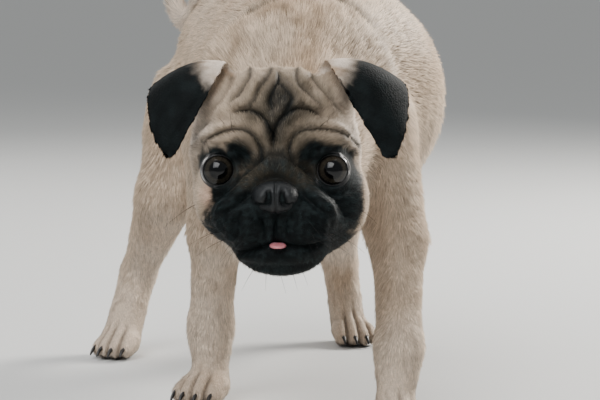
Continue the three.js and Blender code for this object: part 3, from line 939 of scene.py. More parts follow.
    def part_toes(self, net: Net) -> np.ndarray:
        """Presses the gaps between the toes into each paw and rounds the toes up.

        Args:
            net: the skin's points, which are moved.

        Returns:
            How deep in a gap each point is.
        """
        normals = net.normals()
        shade = np.zeros(len(net.points))
        for paw in PAWS:
            claws = np.array([node_centre(f"claw_{paw}_{i}") for i in range(1, 5)])[:, :2]
            low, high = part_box(f"leg_{paw}_paw")
            middle = (np.array(low) + np.array(high))[:2] / 2.0
            ahead = unit(claws.mean(axis=0) - middle)
            aside = np.array([ahead[1], -ahead[0]])
            local = net.points[:, :2] - middle
            forth, lateral = local @ ahead / MM, local @ aside / MM
            places = np.sort((claws - middle) @ aside / MM)
            here = (self.number == Region.PAW) & (np.hypot(*local.T) < self.paw_reach)
            here = here * smoothstep(0.5, 9.0, forth) * (net.points[:, 2] > 1.5 * MM)
            spread = 0.82 + 0.011 * forth
            height = np.zeros(len(net.points))
            for gap in (places[1:] + places[:-1]) / 2.0:
                near = bump(lateral, gap * spread, 1.0) * here
                height -= self.toe_gap_mm * near
                shade = np.maximum(shade, 0.62 * near)
            for toe in places:
                near = bump(lateral, toe * spread, 2.6)
                height += self.toe_rise_mm * near * here * smoothstep(4.0, 12.0, forth)
            net.points = net.points + normals * (height * MM)[:, None]
        return shade

    def open_eyes(self, net: Net) -> None:
        """Sinks the skin behind each eye's opening and rounds it up around the rim.

        Args:
            net: the skin's points, which are moved.
        """
        across, up, ahead = FACE.place_mm(net.points).T
        on_head = np.isin(self.number, FACE_REGIONS) & (ahead > EYE.reach_back)
        for side in SIDES.values():
            share = EYE.share(side, across, up)
            ball = EYE.front(side, across, up)
            sunk = smoothstep(1.12, 0.92, share) * on_head
            ahead = ahead + (np.minimum(ball - 5.0, ahead) - ahead) * sunk
            around = on_head * (share > 0.9) * (share < 2.4)
            rings = 0.8 * bump(share, 1.32, 0.15) - 1.0 * bump(share, 1.72, 0.13)
            ahead = ahead + around * (rings + 0.4 * bump(share, 2.0, 0.15))
        net.points = FACE.point(np.column_stack([across, up, ahead]))

    def stand(self, net: Net) -> None:
        """Brings the soles down to the floor.

        Args:
            net: the skin's points, which are moved.
        """
        paws = self.number == Region.PAW
        lowest = net.points[paws, 2].min()
        near_floor = smoothstep(self.sole, 0.0, net.points[:, 2]) * paws
        net.points[:, 2] -= near_floor * lowest
        net.points[:, 2] = np.maximum(net.points[:, 2], 0.0)

    def lay_of_coat(self, net: Net) -> np.ndarray:
        """Works out which way the hair lies at each point.

        Args:
            net: the finished skin's points.

        Returns:
            A direction along the skin for each point.
        """
        points, normals = net.points, self.normal
        lie = np.zeros_like(points)
        middle = node_centre("torso")
        drop = np.clip(np.abs(points[:, 0] - middle[0]) / (80 * MM), 0.0, 1.0)
        trunk = np.column_stack([np.zeros(len(points)), np.ones(len(points)), -0.55 * drop])
        chest = smoothstep(-0.2, -0.8, normals[:, 1]) * smoothstep(0.2, 0.15, points[:, 2])
        trunk = mix(trunk, np.array([0.0, 0.15, -1.0]), chest)
        down, step = np.array([0.0, 0.22, -1.0]), np.array([0.0, -0.8, -0.7])
        from_nose = unit(points - FACE.point(np.array([[0.0, -14.0, 8.0]])))
        away = unit(points - FACE.point(np.array([[0.0, -10.0, -50.0]])))
        side = np.sign(FACE.place_mm(points)[:, 0])
        roots = FACE.point(np.outer(side, (34.0, 0.0, 0.0)) + (0.0, 58.0, -26.0))
        curl = (node_centre("tail_2") + node_centre("tail_3") + node_centre("tail_1")) / 3.0
        spoke = points - curl
        round_curl = np.column_stack([-0.25 * np.hypot(spoke[:, 1], spoke[:, 2]),
                                      -spoke[:, 2], spoke[:, 1]])
        choices = {Region.HEAD: from_nose, Region.EYE: from_nose, Region.EAR: unit(points - roots),
                   Region.NECK: mix(away, trunk, 0.35 + 0.65 * chest), Region.TORSO: trunk,
                   Region.UPPER_LEG: down + 0.5 * trunk,
                   Region.LOWER_LEG: down, Region.PAW: step, Region.TAIL: unit(round_curl)}
        for region, way in choices.items():
            chosen = self.number == region
            lie[chosen] = unit(np.broadcast_to(way, points.shape))[chosen]
        for _ in range(10):
            lie = net.smooth(lie, 2)
            lie = unit(lie - normals * np.sum(lie * normals, axis=1, keepdims=True))
        return lie

    def search_tree(self) -> BVHTree:
        """Builds a search tree over the finished skin.

        Returns:
            The tree.
        """
        self.net.write()
        faces = [tuple(p.vertices) for p in self.mesh.polygons]
        return BVHTree.FromPolygons([Vector(p) for p in self.net.points], faces)

    def piece(self, material: bpy.types.Material) -> bpy.types.Object:
        """Finishes the skin as a piece that stands for the flesh.

        Args:
            material: the bare finish under the coat.

        Returns:
            The finished piece.
        """
        # darkened coat colour: painted shade beneath the tufts
        set_colours(self.mesh, self.colour * self.shade_under_coat)
        self.mesh.shade_smooth()
        piece = link("skin", self.mesh, material)
        thinner = piece.modifiers.new("thinner", "DECIMATE")
        thinner.ratio = self.kept_share
        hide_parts(*self.flesh)
        return piece


@dataclass
class Unwrap:
    """A flat plan of the skin: each region's six sides laid side by side."""

    skin: Skin
    columns: int = 8
    rows: int = 7
    margin: float = 0.06

    def __post_init__(self) -> None:
        """Places each of the skin's points on the plan."""
        points, normals, number = self.skin.net.points, self.skin.normal, self.skin.number
        axis = np.argmax(np.abs(normals), axis=1)
        facing = normals[np.arange(len(points)), axis] > 0
        cell = number * 6 + axis * 2 + facing
        self.place = np.zeros((len(points), 2))
        for tile in np.unique(cell):
            chosen = cell == tile
            kept = [i for i in range(3) if i != axis[chosen][0]]
            flat = points[chosen][:, kept]
            low, size = flat.min(axis=0), np.ptp(flat, axis=0).max() + 1e-6
            local = self.margin + (flat - low) / size * (1.0 - 2.0 * self.margin)
            corner = np.array([tile % self.columns, tile // self.columns])
            self.place[chosen] = (corner + local) / (self.columns, self.rows)


@dataclass(frozen=True)
class CoatPatch:
    """One joined piece of coat: its name, tuft count and the regions that it covers."""

    name: str
    tufts: int
    regions: tuple[Region, ...]
    side: int = 0
    front_of_head: bool | None = None


PATCHES: tuple[CoatPatch, ...] = (
    CoatPatch("coat_face", 47000, (Region.HEAD, Region.EYE), front_of_head=True),
    CoatPatch("coat_crown", 14000, (Region.HEAD,), front_of_head=False),
    CoatPatch("coat_ears", 28000, (Region.EAR,)),
    CoatPatch("coat_neck", 46000, (Region.NECK,)),
    CoatPatch("coat_trunk_right", 47000, (Region.TORSO,), side=-1),
    CoatPatch("coat_trunk_left", 47000, (Region.TORSO,), side=1),
    CoatPatch("coat_upper_legs", 46000, (Region.UPPER_LEG,)),
    CoatPatch("coat_lower_legs", 42000, (Region.LOWER_LEG,)),
    CoatPatch("coat_paws", 26000, (Region.PAW,)),
    CoatPatch("coat_tail", 18000, (Region.TAIL,)),
)

# a tuft's four triangles: its points are two at the root, one on top and the tip
TUFT_FACES = np.array([0, 1, 3, 1, 2, 3, 2, 0, 3, 0, 2, 1], dtype=np.int32)


@dataclass
class Coat:
    """Short tufts over the skin, each a thin tapered solid that lies along the hair."""

    skin: Skin
    unwrap: Unwrap
    patch_uv: float = 0.003
    root_sink: float = 0.35 * MM
    floor_gap: float = 0.1 * MM
    sole_clear: float = 1.2 * MM
    eye_clear: float = 1.17
    face_edge_mm: float = -46.0
    # ovals without tufts, the nose and the tongue: across, up, half width, half height
    bald_ovals: Rows = ((0.0, -17.0, 14.5, 10.5), (1.4, -44.4, 6.5, 3.0))
    lie_spread: float = 0.16
    length_range: tuple[float, float] = (0.72, 1.22)
    width_range: tuple[float, float] = (0.75, 1.25)
    lift_range: tuple[float, float] = (0.45, 1.5)
    tint_spread: float = 0.17
    tint_range: tuple[float, float] = (0.55, 1.5)
    # dark tufts made paler at random: some lighter hairs, and painted sheen on the black
    pale_and_sheen_hairs: float = 0.65
    # each point's share of the root colour: the three root points darker as painted shade down in
    # the coat, the tip lighter
    point_shades: tuple[float, ...] = (0.80, 0.80, 0.86, 1.10)
    point_spots: Rows = ((0, 0), (1, 0), (0.5, 0.4), (0.5, 1))

    def __post_init__(self) -> None:
        """Reads the skin's triangles."""
        skin, mesh = self.skin, self.skin.mesh
        mesh.calc_loop_triangles()
        corners = np.empty(len(mesh.loop_triangles) * 3, dtype=np.int64)
        mesh.loop_triangles.foreach_get("vertices", corners)
        self.corners = corners.reshape(-1, 3)
        a, b, c = (skin.net.points[self.corners[:, i]] for i in range(3))
        self.area = np.linalg.norm(np.cross(b - a, c - a), axis=1) / 2.0
        self.middle = (a + b + c) / 3.0
        self.number = skin.number[self.corners[:, 0]]
        self.clumps = Waves(14 * MM, SEED + 5)
        self.hue = Waves(5 * MM, SEED + 6, 30)

    def weights(self, patch: CoatPatch) -> np.ndarray:
        """Gives each triangle's share of a patch's tufts.

        Args:
            patch: which patch.

        Returns:
            The shares, which add up to 1.
        """
        chosen = np.isin(self.number, patch.regions)
        if patch.side:
            chosen &= np.sign(self.middle[:, 0] - node_centre("torso")[0]) == patch.side
        across, up, ahead = FACE.place_mm(self.middle).T
        if patch.front_of_head is not None:
            chosen &= (ahead > self.face_edge_mm) == patch.front_of_head
        weight = self.area * chosen * per_region("density", self.number)
        for side in SIDES.values():
            in_eye = EYE.share(side, across, up) < self.eye_clear
            weight[in_eye & (ahead > EYE.reach_back)] = 0.0
        for x, y, wide, high in self.bald_ovals:
            inside = np.hypot((across - x) / wide, (up - y) / high) < 1.0
            weight[inside & (ahead > 0.0)] = 0.0
        weight[self.middle[:, 2] < self.sole_clear] = 0.0
        return weight / weight.sum()

    def grow(self, patch: CoatPatch, seed: int, material: bpy.types.Material) -> bpy.types.Object:
        """Grows one patch of tufts.

        Args:
            patch: which patch.
            seed: for its draws.
            material: the coat's finish.

        Returns:
            The finished piece.
        """
        draw = np.random.default_rng(seed)
        count = patch.tufts
        face = draw.choice(len(self.corners), count, p=self.weights(patch))
        mixes = draw.dirichlet((1.0, 1.0, 1.0), count)
        corners = self.corners[face]

        def spread(values: np.ndarray) -> np.ndarray:
            """Mixes the corners' values at each root."""
            return np.einsum("ij,ij...->i...", mixes, values[corners])

        skin = self.skin
        root = spread(skin.net.points)
        normal = unit(spread(skin.normal))
        lie = unit(spread(skin.lie) + draw.normal(scale=self.lie_spread, size=(count, 3)))
        lie = unit(lie - normal * np.sum(lie * normal, axis=1, keepdims=True))
        number = skin.number[corners[:, 0]]
        clump = self.clumps.at(root)
        length = per_region("length", number) * draw.uniform(*self.length_range, count)
        length = length * (1 + 0.1 * clump)
        width = per_region("width", number) * draw.uniform(*self.width_range, count)
        lift = np.radians(per_region("lift", number) * draw.uniform(*self.lift_range, count))
        length, lift = self.trim(root, number, length, lift)
        way = lie * np.cos(lift)[:, None] + normal * np.sin(lift)[:, None]
        side = np.cross(normal, lie)
        base = root - normal * self.root_sink
        half = (width / 2.0)[:, None]
        corners_out = np.stack([base - side * half, base + side * half,
                                base + normal * half * 0.9 - lie * half,
                                base + way * length[:, None]], axis=1)
        corners_out[:, :, 2] = np.maximum(corners_out[:, :, 2], self.floor_gap)
        return self.build(patch.name, corners_out, normal, spread(skin.colour), corners, mixes,
                          draw, material)

    def trim(self, root: np.ndarray, number: np.ndarray, length: np.ndarray,
             lift: np.ndarray) -> tuple[np.ndarray, np.ndarray]:
        """Shortens the coat on the muzzle and round the eyes, and lengthens it on the nape.

        Args:
            root: the tufts' roots.
            number: the region number of each.
            length: the length of each.
            lift: the angle of each off the skin.

        Returns:
            The changed lengths and angles.
        """
        across, up, ahead = FACE.place_mm(root).T
        on_head = np.isin(number, FACE_REGIONS)
        muzzle = on_head * smoothstep(1.0, 0.6, np.hypot(across / 44, (up + 32) / 34))
        length = length * (1.0 - 0.38 * muzzle)
        for side in SIDES.values():
            near = on_head * smoothstep(1.9, 1.2, EYE.share(side, across, up))
            near = near * (ahead > EYE.reach_back)
            length = length * (1.0 - 0.5 * near)
            lift = lift * (1.0 - 0.5 * near)
        back = on_head * smoothstep(-20.0, -50.0, ahead)
        return length * (1.0 + 1.2 * back), lift

    def build(self, name: str, tufts: np.ndarray, normal: np.ndarray, colour: np.ndarray,
              corners: np.ndarray, mixes: np.ndarray, draw: np.random.Generator,
              material: bpy.types.Material) -> bpy.types.Object:
        """Joins tufts of four points each into one piece with its colours and plan.

        Args:
            name: the piece's name.
            tufts: the four points of each tuft, the tip last.
            normal: the skin's normal at each root.
            colour: the coat's colour at each root.
            corners: the skin's points round each root.
            mixes: how much of each of those points the root takes.
            draw: the patch's random draws.
            material: the coat's finish.

        Returns:
            The finished piece.
        """
        count = len(tufts)
        first = np.arange(count, dtype=np.int32)[:, None] * 4
        mesh = bpy.data.meshes.new(name)
        mesh.vertices.add(count * 4)
        mesh.vertices.foreach_set("co", tufts.ravel())
        mesh.loops.add(count * 12)
        mesh.loops.foreach_set("vertex_index", (first + TUFT_FACES).ravel())
        mesh.polygons.add(count * 4)
        mesh.polygons.foreach_set("loop_start", np.arange(count * 4, dtype=np.int32) * 3)
        mesh.update(calc_edges=True)
        dark = smoothstep(0.10, 0.01, colour.mean(axis=1))
        tint = 1.0 + self.tint_spread * draw.normal(size=count) + 0.07 * self.hue.at(tufts[:, 0])
        tint = np.clip(tint, *self.tint_range)
        # paler dark tufts at random: lighter hairs and painted sheen
        tint = tint * (1.0 + dark * draw.exponential(self.pale_and_sheen_hairs, count))
        # roots darker than tips: painted shade down in the coat
        shades = np.stack([colour * (tint * s)[:, None] for s in self.point_shades], axis=1)
        set_colours(mesh, shades.reshape(-1, 3))
        nearest = corners[np.arange(count), np.argmax(mixes, axis=1)]
        place = self.unwrap.place[nearest]
        plan = place[:, None, :] + np.array(self.point_spots) * self.patch_uv
        layer = mesh.uv_layers.new(name="OFBake")
        layer.data.foreach_set("uv", plan[:, TUFT_FACES, :].reshape(-1).astype(np.float32))
        mesh.shade_smooth()
        edge = unit(tufts - tufts.mean(axis=1, keepdims=True))
        soft = unit(normal[:, None, :] * 1.3 + edge * 0.75)
        mesh.normals_split_custom_set_from_vertices(soft.reshape(-1, 3).astype(np.float32))
        return link(name, mesh, material)


def grain_group() -> bpy.types.NodeTree:
    """Builds the shader group that varies a colour finely and gives a height for bump.

    Returns:
        The group, with the inputs Color, Scale and Amount.
    """
    group = bpy.data.node_groups.new("fine_grain", "ShaderNodeTree")
    for name, way, kind in (("Color", "INPUT", "Color"), ("Scale", "INPUT", "Float"),
                            ("Amount", "INPUT", "Float"), ("Color", "OUTPUT", "Color"),
                            ("Height", "OUTPUT", "Float")):
        group.interface.new_socket(name, in_out=way, socket_type=f"NodeSocket{kind}")
    nodes = group.nodes
    given, given_back = nodes.new("NodeGroupInput"), nodes.new("NodeGroupOutput")
    place, noise = nodes.new("ShaderNodeTexCoord"), nodes.new("ShaderNodeTexNoise")
    noise.inputs["Detail"].default_value = GRAIN_DETAIL
    spread, centred = nodes.new("ShaderNodeMath"), nodes.new("ShaderNodeMath")
    spread.operation, centred.operation = "MULTIPLY_ADD", "SUBTRACT"
    spread.inputs[2].default_value = 1.0
    centred.inputs[1].default_value = 0.5
    scaled = nodes.new("ShaderNodeVectorMath")
    scaled.operation = "SCALE"
    for source, target in ((place.outputs["Object"], noise.inputs["Vector"]),
                           (given.outputs["Scale"], noise.inputs["Scale"]),
                           (noise.outputs["Fac"], centred.inputs[0]),
                           (centred.outputs[0], spread.inputs[0]),
                           (given.outputs["Amount"], spread.inputs[1]),
                           (given.outputs["Color"], scaled.inputs[0]),
                           (spread.outputs[0], scaled.inputs["Scale"]),
                           (scaled.outputs[0], given_back.inputs["Color"]),
                           (noise.outputs["Fac"], given_back.inputs["Height"])):
        group.links.new(source, target)
    return group


@dataclass(frozen=True)
class Finish:
    """One finish: its gloss, its grain, and its screen colour or else the mesh's own colours."""

    name: str
    roughness: float
    grain_scale: float
    grain_amount: float
    grain_depth: float = 0.0
    colour: tuple[int, int, int] | None = None
    sockets: tuple[tuple[str, float], ...] = ()

    def build(self, grain: bpy.types.NodeTree) -> bpy.types.Material:
        """Builds the material.

        Args:
            grain: the shared shader group.

        Returns:
            The material.
        """
        made = bpy.data.materials.new(self.name)
        made.use_nodes = True
        nodes, links = made.node_tree.nodes, made.node_tree.links
        shader = nodes["Principled BSDF"]
        shader.inputs["Roughness"].default_value = self.roughness
        for socket, value in self.sockets:
            shader.inputs[socket].default_value = value
        grained = nodes.new("ShaderNodeGroup")
        grained.node_tree = grain
        grained.inputs["Scale"].default_value = self.grain_scale
        grained.inputs["Amount"].default_value = self.grain_amount
        if self.colour is None:
            source = nodes.new("ShaderNodeAttribute")
            source.attribute_name = COLOUR_LAYER
            links.new(source.outputs["Color"], grained.inputs["Color"])
        else:
            grained.inputs["Color"].default_value = (*linear(*self.colour), 1.0)
        links.new(grained.outputs["Color"], shader.inputs["Base Color"])
        if self.grain_depth:
            relief = nodes.new("ShaderNodeBump")
            relief.inputs["Strength"].default_value = 1.0
            relief.inputs["Distance"].default_value = self.grain_depth
            links.new(grained.outputs["Height"], relief.inputs["Height"])
            links.new(relief.outputs["Normal"], shader.inputs["Normal"])
        return made


HAIR = Finish("short_coat", 0.5, 420.0, 0.25, sockets=(("Specular IOR Level", 0.12),))
HIDE = Finish("hide", 0.7, 900.0, 0.5, 0.5 * MM, sockets=(("Specular IOR Level", 0.12),))
WET_EYE = Finish("wet_eye", 0.03, 300.0, 0.1, sockets=(("Specular IOR Level", 0.34),))
LID_RIM = Finish("lid_rim", 0.5, 1500.0, 0.3, 0.15 * MM, (13, 13, 14),
                 (("Specular IOR Level", 0.35),))
NOSE_LEATHER = Finish("nose_leather", 0.5, 1300.0, 0.4, 0.5 * MM, sockets=(
    ("Specular IOR Level", 0.3), ("Coat Weight", 0.12), ("Coat Roughness", 0.3)))
TONGUE = Finish("tongue", 0.32, 1400.0, 0.2, 0.2 * MM, (188, 112, 120), (
    ("Subsurface Weight", 0.1), ("Coat Weight", 0.3), ("Coat Roughness", 0.15)))
CLAW_HORN = Finish("claw_horn", 0.36, 900.0, 0.5, 0.05 * MM, (24, 21, 19))
WHISKER = Finish("whisker", 0.6, 900.0, 0.2, colour=(10, 10, 11),
                 sockets=(("Specular IOR Level", 0.1),))


@dataclass
class Eyes:
    """The two eyes: a ball with a raised cornea, and the dark rims of the lids."""

    surface: BVHTree
    cornea_rise_mm: float = 0.9
    rim_thickness: float = 0.5 * MM
    rim_steps: int = 72
    # the rim from the ball outwards: out, forward, and how much it follows the skin
    rim_profile: Rows = ((-0.2, -1.6, 0.0), (-0.15, 0.05, 0.0), (0.1, 0.5, 0.0),
                         (0.55, 0.75, 0.1), (1.1, 0.7, 0.5), (1.8, 0.35, 0.9),
                         (2.6, -0.2, 1.0), (3.6, -1.4, 1.0))
    gaze_right_mm: tuple[float, float] = (0.25, 0.25)
    gaze_left_mm: tuple[float, float] = (0.35, 0.25)

    PUPIL, IRIS = linear(3, 3, 4), linear(38, 34, 28)
    LIMBUS, WHITE = linear(8, 8, 8), linear(78, 75, 74)

    def ball(self, name: str, side: int, material: bpy.types.Material) -> bpy.types.Object:
        """Makes one eyeball, coloured in rings from the pupil out.

        Args:
            name: right or left.
            side: -1 on the right and 1 on the left.
            material: the wet finish.

        Returns:
            The finished piece.
        """
        shape = bmesh.new()
        bmesh.ops.create_uvsphere(shape, u_segments=72, v_segments=64, radius=EYE.ball)
        mesh = mesh_of(shape, f"eyeball_{name}")
        local = np.empty(len(mesh.vertices) * 3)
        mesh.vertices.foreach_get("co", local)
        local = local.reshape(-1, 3)
        out = np.hypot(local[:, 0], local[:, 1])
        local[:, 2] += self.cornea_rise_mm * smoothstep(8.6, 2.0, out) * (local[:, 2] > 0)
        gaze = self.gaze_left_mm if side > 0 else self.gaze_right_mm
        over, upward = (shift / EYE.ball for shift in gaze)
        turn = Matrix.Rotation(over, 3, "Y") @ Matrix.Rotation(-upward, 3, "X")
        ring = np.where(local[:, 2] > 0, out, EYE.ball)
        placed = local @ np.array(turn).T + (side * EYE.across, 0.0, EYE.depth)
        mesh.vertices.foreach_set("co", FACE.point(placed).ravel())
        set_colours(mesh, self.rings(ring, local))
        piece = link(f"eyeball_{name}", mesh, material)
        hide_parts(f"eye_{name}")
        return piece

    def rings(self, ring: np.ndarray, local: np.ndarray) -> np.ndarray:
        """Colours the ball by distance from the pupil's middle, in millimetres.

        Args:
            ring: each point's distance from the pupil's middle.
            local: each point's place on the ball.

        Returns:
            A row of red, green and blue for each point.
        """
        turn = np.arctan2(local[:, 1], local[:, 0])
        fibre = 1.0 + 0.25 * np.sin(turn * 17.0) * np.sin(turn * 29.0 + 1.0)
        colour = mix(self.PUPIL, self.IRIS, smoothstep(EYE.pupil - 0.3, EYE.pupil + 0.9, ring))
        colour = colour * fibre[:, None]
        colour = mix(colour, self.LIMBUS, smoothstep(EYE.iris - 1.4, EYE.iris, ring))
        return mix(colour, self.WHITE, smoothstep(EYE.iris + 0.1, EYE.iris + 0.8, ring))

    def rim(self, name: str, side: int, material: bpy.types.Material) -> bpy.types.Object:
        """Makes the rolled rim of one eye's lids, from the ball out under the skin.

        Args:
            name: right or left.
            side: -1 on the right and 1 on the left.
            material: the finish of the lids.

        Returns:
            The finished piece.
        """
        rings = []
        for i in range(self.rim_steps):
            turn = 2.0 * math.pi * i / self.rim_steps
            aim = np.array([math.cos(turn), math.sin(turn)])
            inward = max(-side * math.cos(turn + side * 0.35), 0.0)
            edge = aim * (EYE.opening_wide, EYE.opening_high) * (1.0 + 0.07 * inward ** 6)
            row = []
            for out, rise, on_skin in self.rim_profile:
                spot = edge + aim * out
                held = min(np.hypot(*spot), EYE.ball - 1.2)
                touch = EYE.depth + math.sqrt(EYE.ball ** 2 - held ** 2)
                x, y = side * EYE.across + spot[0], spot[1]
                level = self.skin_level(x, y, touch)
                row.append((x, y, (touch + rise) * (1.0 - on_skin) + (level + rise) * on_skin))
            rings.append(row)
        return self.loft(f"lid_rim_{name}", rings, material)

    def skin_level(self, x: float, y: float, fallback: float) -> float:
        """Finds how far forward the skin is at a place on the face, in millimetres.

        Args:
            x: the place across.
            y: the place up.
            fallback: what is given where no skin is met.

        Returns:
            The level.
        """
        start = Vector(FACE.point(np.array([x, y, 60.0])))
        hit = self.surface.ray_cast(start, Vector(-FACE.axes[2]), 0.12)[0]
        return FACE.place_mm(np.array(hit))[2] if hit else fallback

    def loft(self, name: str, rings: list[list[tuple[float, float, float]]],
             material: bpy.types.Material) -> bpy.types.Object:
        """Joins rows of points into a closed ring and gives it a thickness inward.

        Args:
            name: the piece's name.
            rings: the rows of points on the face.
            material: the finish.

        Returns:
            The finished piece.
        """
        shape = bmesh.new()
        rows = [[shape.verts.new(FACE.point(np.array(p))) for p in row] for row in rings]
        loops = []
        for column in range(len(rows[0])):
            loop = [row[column] for row in rows]
            loops.append([shape.edges.new((loop[i], loop[(i + 1) % len(loop)]))
                          for i in range(len(loop))])
        for near, far in zip(loops, loops[1:]):
            bmesh.ops.bridge_loops(shape, edges=near + far)
        bmesh.ops.recalc_face_normals(shape, faces=shape.faces)
        outward = sum(f.normal.dot(Vector(FACE.axes[2])) for f in shape.faces)
        if outward < 0:
            bmesh.ops.reverse_faces(shape, faces=shape.faces)
        bmesh.ops.solidify(shape, geom=shape.faces[:], thickness=self.rim_thickness)
        return link(name, mesh_of(shape, name), material)


@dataclass
class Nose:
    """The nose leather, with its nostrils and middle groove."""

    voxel: float = 0.55 * MM
    growth: float = 0.3 * MM
    rounds: int = 14
    groove: Fold = Fold(((0.2, -7), (0, -14), (0, -20), (0, -29)), 1.0, 0.5, 0.6, 0.1)
    slit_run: Rows = ((4.4, -12.4), (3.9, -15.5), (4.5, -18.8), (6.8, -20.8), (11.5, -20.2))

    LEATHER = linear(13, 16, 18)
    # near black for the nostrils, slits and groove: painted shade in the hollows
    HOLLOW_SHADE = linear(3, 3, 4)

    def piece(self, material: bpy.types.Material) -> bpy.types.Object:
        """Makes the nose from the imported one, finer and pressed into shape.

        Args:
            material: the leather finish.

        Returns:
            The finished piece.
        """
        hull = merged_copy("nose", self.growth)
        shell = bmesh.ops.convex_hull(hull, input=hull.verts)
        bmesh.ops.delete(hull, geom=shell["geom_interior"] + shell["geom_unused"], context="VERTS")
        bmesh.ops.delete(hull, geom=shell["geom_holes"], context="FACES")
        mesh = remeshed(mesh_of(hull, "nose_rough"), self.voxel)
        net = Net(mesh)
        net.points = net.smooth(net.points, self.rounds)
        normals = net.normals()
        across, up, ahead = FACE.place_mm(net.points).T
        height, shade = self.groove.relief(across, up)
        for side in SIDES.values():
            slit = Fold(tuple((side * x, y) for x, y in self.slit_run), 2.6, 0.85, 0.9, 0.12)
            cut, dark = slit.relief(across, up)
            wing = np.hypot((across - side * 8.4) / 3.2, (up + 16.8) / 3.0)
            hole = np.hypot((across - side * 4.8) / 1.5, (up + 18.3) / 1.7)
            height += cut + 1.2 * np.exp(-0.5 * wing ** 2) - 2.6 * np.exp(-0.5 * hole ** 2)
            shade = np.maximum(shade, np.maximum(dark, np.exp(-0.5 * hole ** 2)))
        front = smoothstep(8.0, 14.0, ahead)
        net.points = net.points + normals * (height * front * MM)[:, None]
        net.points = net.smooth(net.points, 1, 0.3)
        net.write()
        # painted shade darkens the groove, the slits and the nostrils
        deep = np.clip(shade * front, 0.0, 0.95)
        set_colours(mesh, mix(self.LEATHER, self.HOLLOW_SHADE, deep))
        mesh.shade_smooth()
        piece = link("nose_leather", mesh, material)
        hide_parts("nose")
        return piece


@dataclass
class SmallParts:
    """The tongue, claws and whiskers."""

    claw_growth: float = 0.15 * MM
    whisker_search: float = 0.14
    whisker_root: float = 0.17 * MM
    whisker_tip: float = 0.03 * MM
    whisker_droop: float = 0.22
    whisker_bend: int = 6
    muzzle_rows: tuple[tuple[float, int], ...] = ((-29.0, 4), (-34.0, 5), (-39.0, 4))
    # single whiskers of each side: across, up, outward, upward, length
    side_whiskers: Rows = ((27.0, 26.0, 0.3, 0.8, 15.0), (31.0, 27.0, 0.5, 0.8, 13.0),
                           (49.0, -22.0, 1.0, -0.5, 24.0), (47.0, -26.0, 0.9, -0.8, 22.0))
    chin_whiskers: tuple[float, ...] = (-12, -5, 3, 9, 14)

    def tongue(self, material: bpy.types.Material) -> bpy.types.Object:
        """Makes the tongue's tip, smooth and slightly hollowed along its middle.

        Args:
            material: the moist finish.

        Returns:
            The finished piece.
        """
        copy = merged_copy("tongue", 0.0)
        bmesh.ops.subdivide_edges(copy, edges=copy.edges[:], cuts=1, use_grid_fill=True)
        middle = FACE.place_mm(node_centre("tongue"))
        for vertex in copy.verts:
            x, y, z = FACE.place_mm(np.array(vertex.co)) - middle
            y = 0.72 * y - 0.7 * math.exp(-0.5 * (x / 1.2) ** 2) * (y > 0) - 0.02 * x * x
            vertex.co = FACE.point(middle + (x, y, z))
        for _ in range(3):
            bmesh.ops.smooth_vert(copy, verts=copy.verts, factor=0.5, use_axis_x=True,
                                  use_axis_y=True, use_axis_z=True)
        piece = link("tongue_tip", mesh_of(copy, "tongue_tip"), material)
        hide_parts("tongue")
        return piece

    def claws(self, paw: str, material: bpy.types.Material) -> bpy.types.Object:
        """Makes the claws of one paw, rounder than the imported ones.

        Args:
            paw: the paw's name.
            material: the horn finish.

        Returns:
            The finished piece.
        """
        names = [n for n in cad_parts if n.startswith(f"claw_{paw}")]
        mesh = joined_copies(f"claws_{paw}", names, self.claw_growth)
        for vertex in mesh.vertices:
            vertex.co.z = max(vertex.co.z, 0.0)
        piece = link(f"claws_{paw}", mesh, material)
        rounder = piece.modifiers.new("rounder", "SUBSURF")
        rounder.levels = rounder.render_levels = 2
        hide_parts(*names)
        return piece

    def whiskers(self, surface: BVHTree, material: bpy.types.Material) -> bpy.types.Object:
        """Makes the whiskers of the muzzle, brows and cheeks as thin bent cones.

        Args:
            surface: the skin's search tree.
            material: the dark finish.

        Returns:
            The finished piece.
        """
        draw = np.random.default_rng(SEED + 9)
        roots = []
        for side in SIDES.values():
            for row, count in self.muzzle_rows:
                for i in range(count):
                    roots.append((side * (15.0 + 4.6 * i), row - 0.8 * i, side * (0.5 + 0.16 * i),
                                  -0.42, 26.0))
            roots.extend((side * x, y, side * out, rise, length)
                         for x, y, out, rise, length in self.side_whiskers)
        roots.extend((x, -60.0, x * 0.05, -1.0, 14.0) for x in self.chin_whiskers)
        whole = bmesh.new()
        for x, y, out, rise, length in roots:
            place = np.array([x, y, 60.0]) + [*draw.normal(scale=0.8, size=2), 0.0]
            hit = surface.ray_cast(Vector(FACE.point(place)), Vector(-FACE.axes[2]),
                                   self.whisker_search)[0]
            if hit is None:
                continue
            aim = unit(FACE.turned(np.array([out, rise, 0.85]) + draw.normal(scale=0.16, size=3)))
            reach = float(length * draw.uniform(0.7, 1.2) * MM)
            take_in(whole, self.whisker(hit, Vector(aim), reach))
        return link("whiskers", mesh_of(whole, "whiskers"), material)

    def whisker(self, root: Vector, aim: Vector, length: float) -> bpy.types.Mesh:
        """Makes one whisker: a cone, cut along its length, that droops towards its tip.

        Args:
            root: where it leaves the skin.
            aim: which way it grows.
            length: its length.

        Returns:
            Its mesh.
        """
        shape = bmesh.new()
        bmesh.ops.create_cone(shape, cap_ends=True, segments=5, radius1=self.whisker_root,
                              radius2=self.whisker_tip, depth=length)
        long_edges = [e for e in shape.edges if e.calc_length() > length / 2]
        bmesh.ops.subdivide_edges(shape, edges=long_edges, cuts=self.whisker_bend)
        turn = Vector((0, 0, 1)).rotation_difference(aim).to_matrix()
        droop = Vector((0.0, 0.25, -1.0))
        for point in shape.verts:
            share = point.co.z / length + 0.5
            along = point.co + Vector((0.0, 0.0, length / 2 - MM))
            point.co = turn @ along + root + droop * (share ** 2 * length * self.whisker_droop)
        return mesh_of(shape, "whisker")


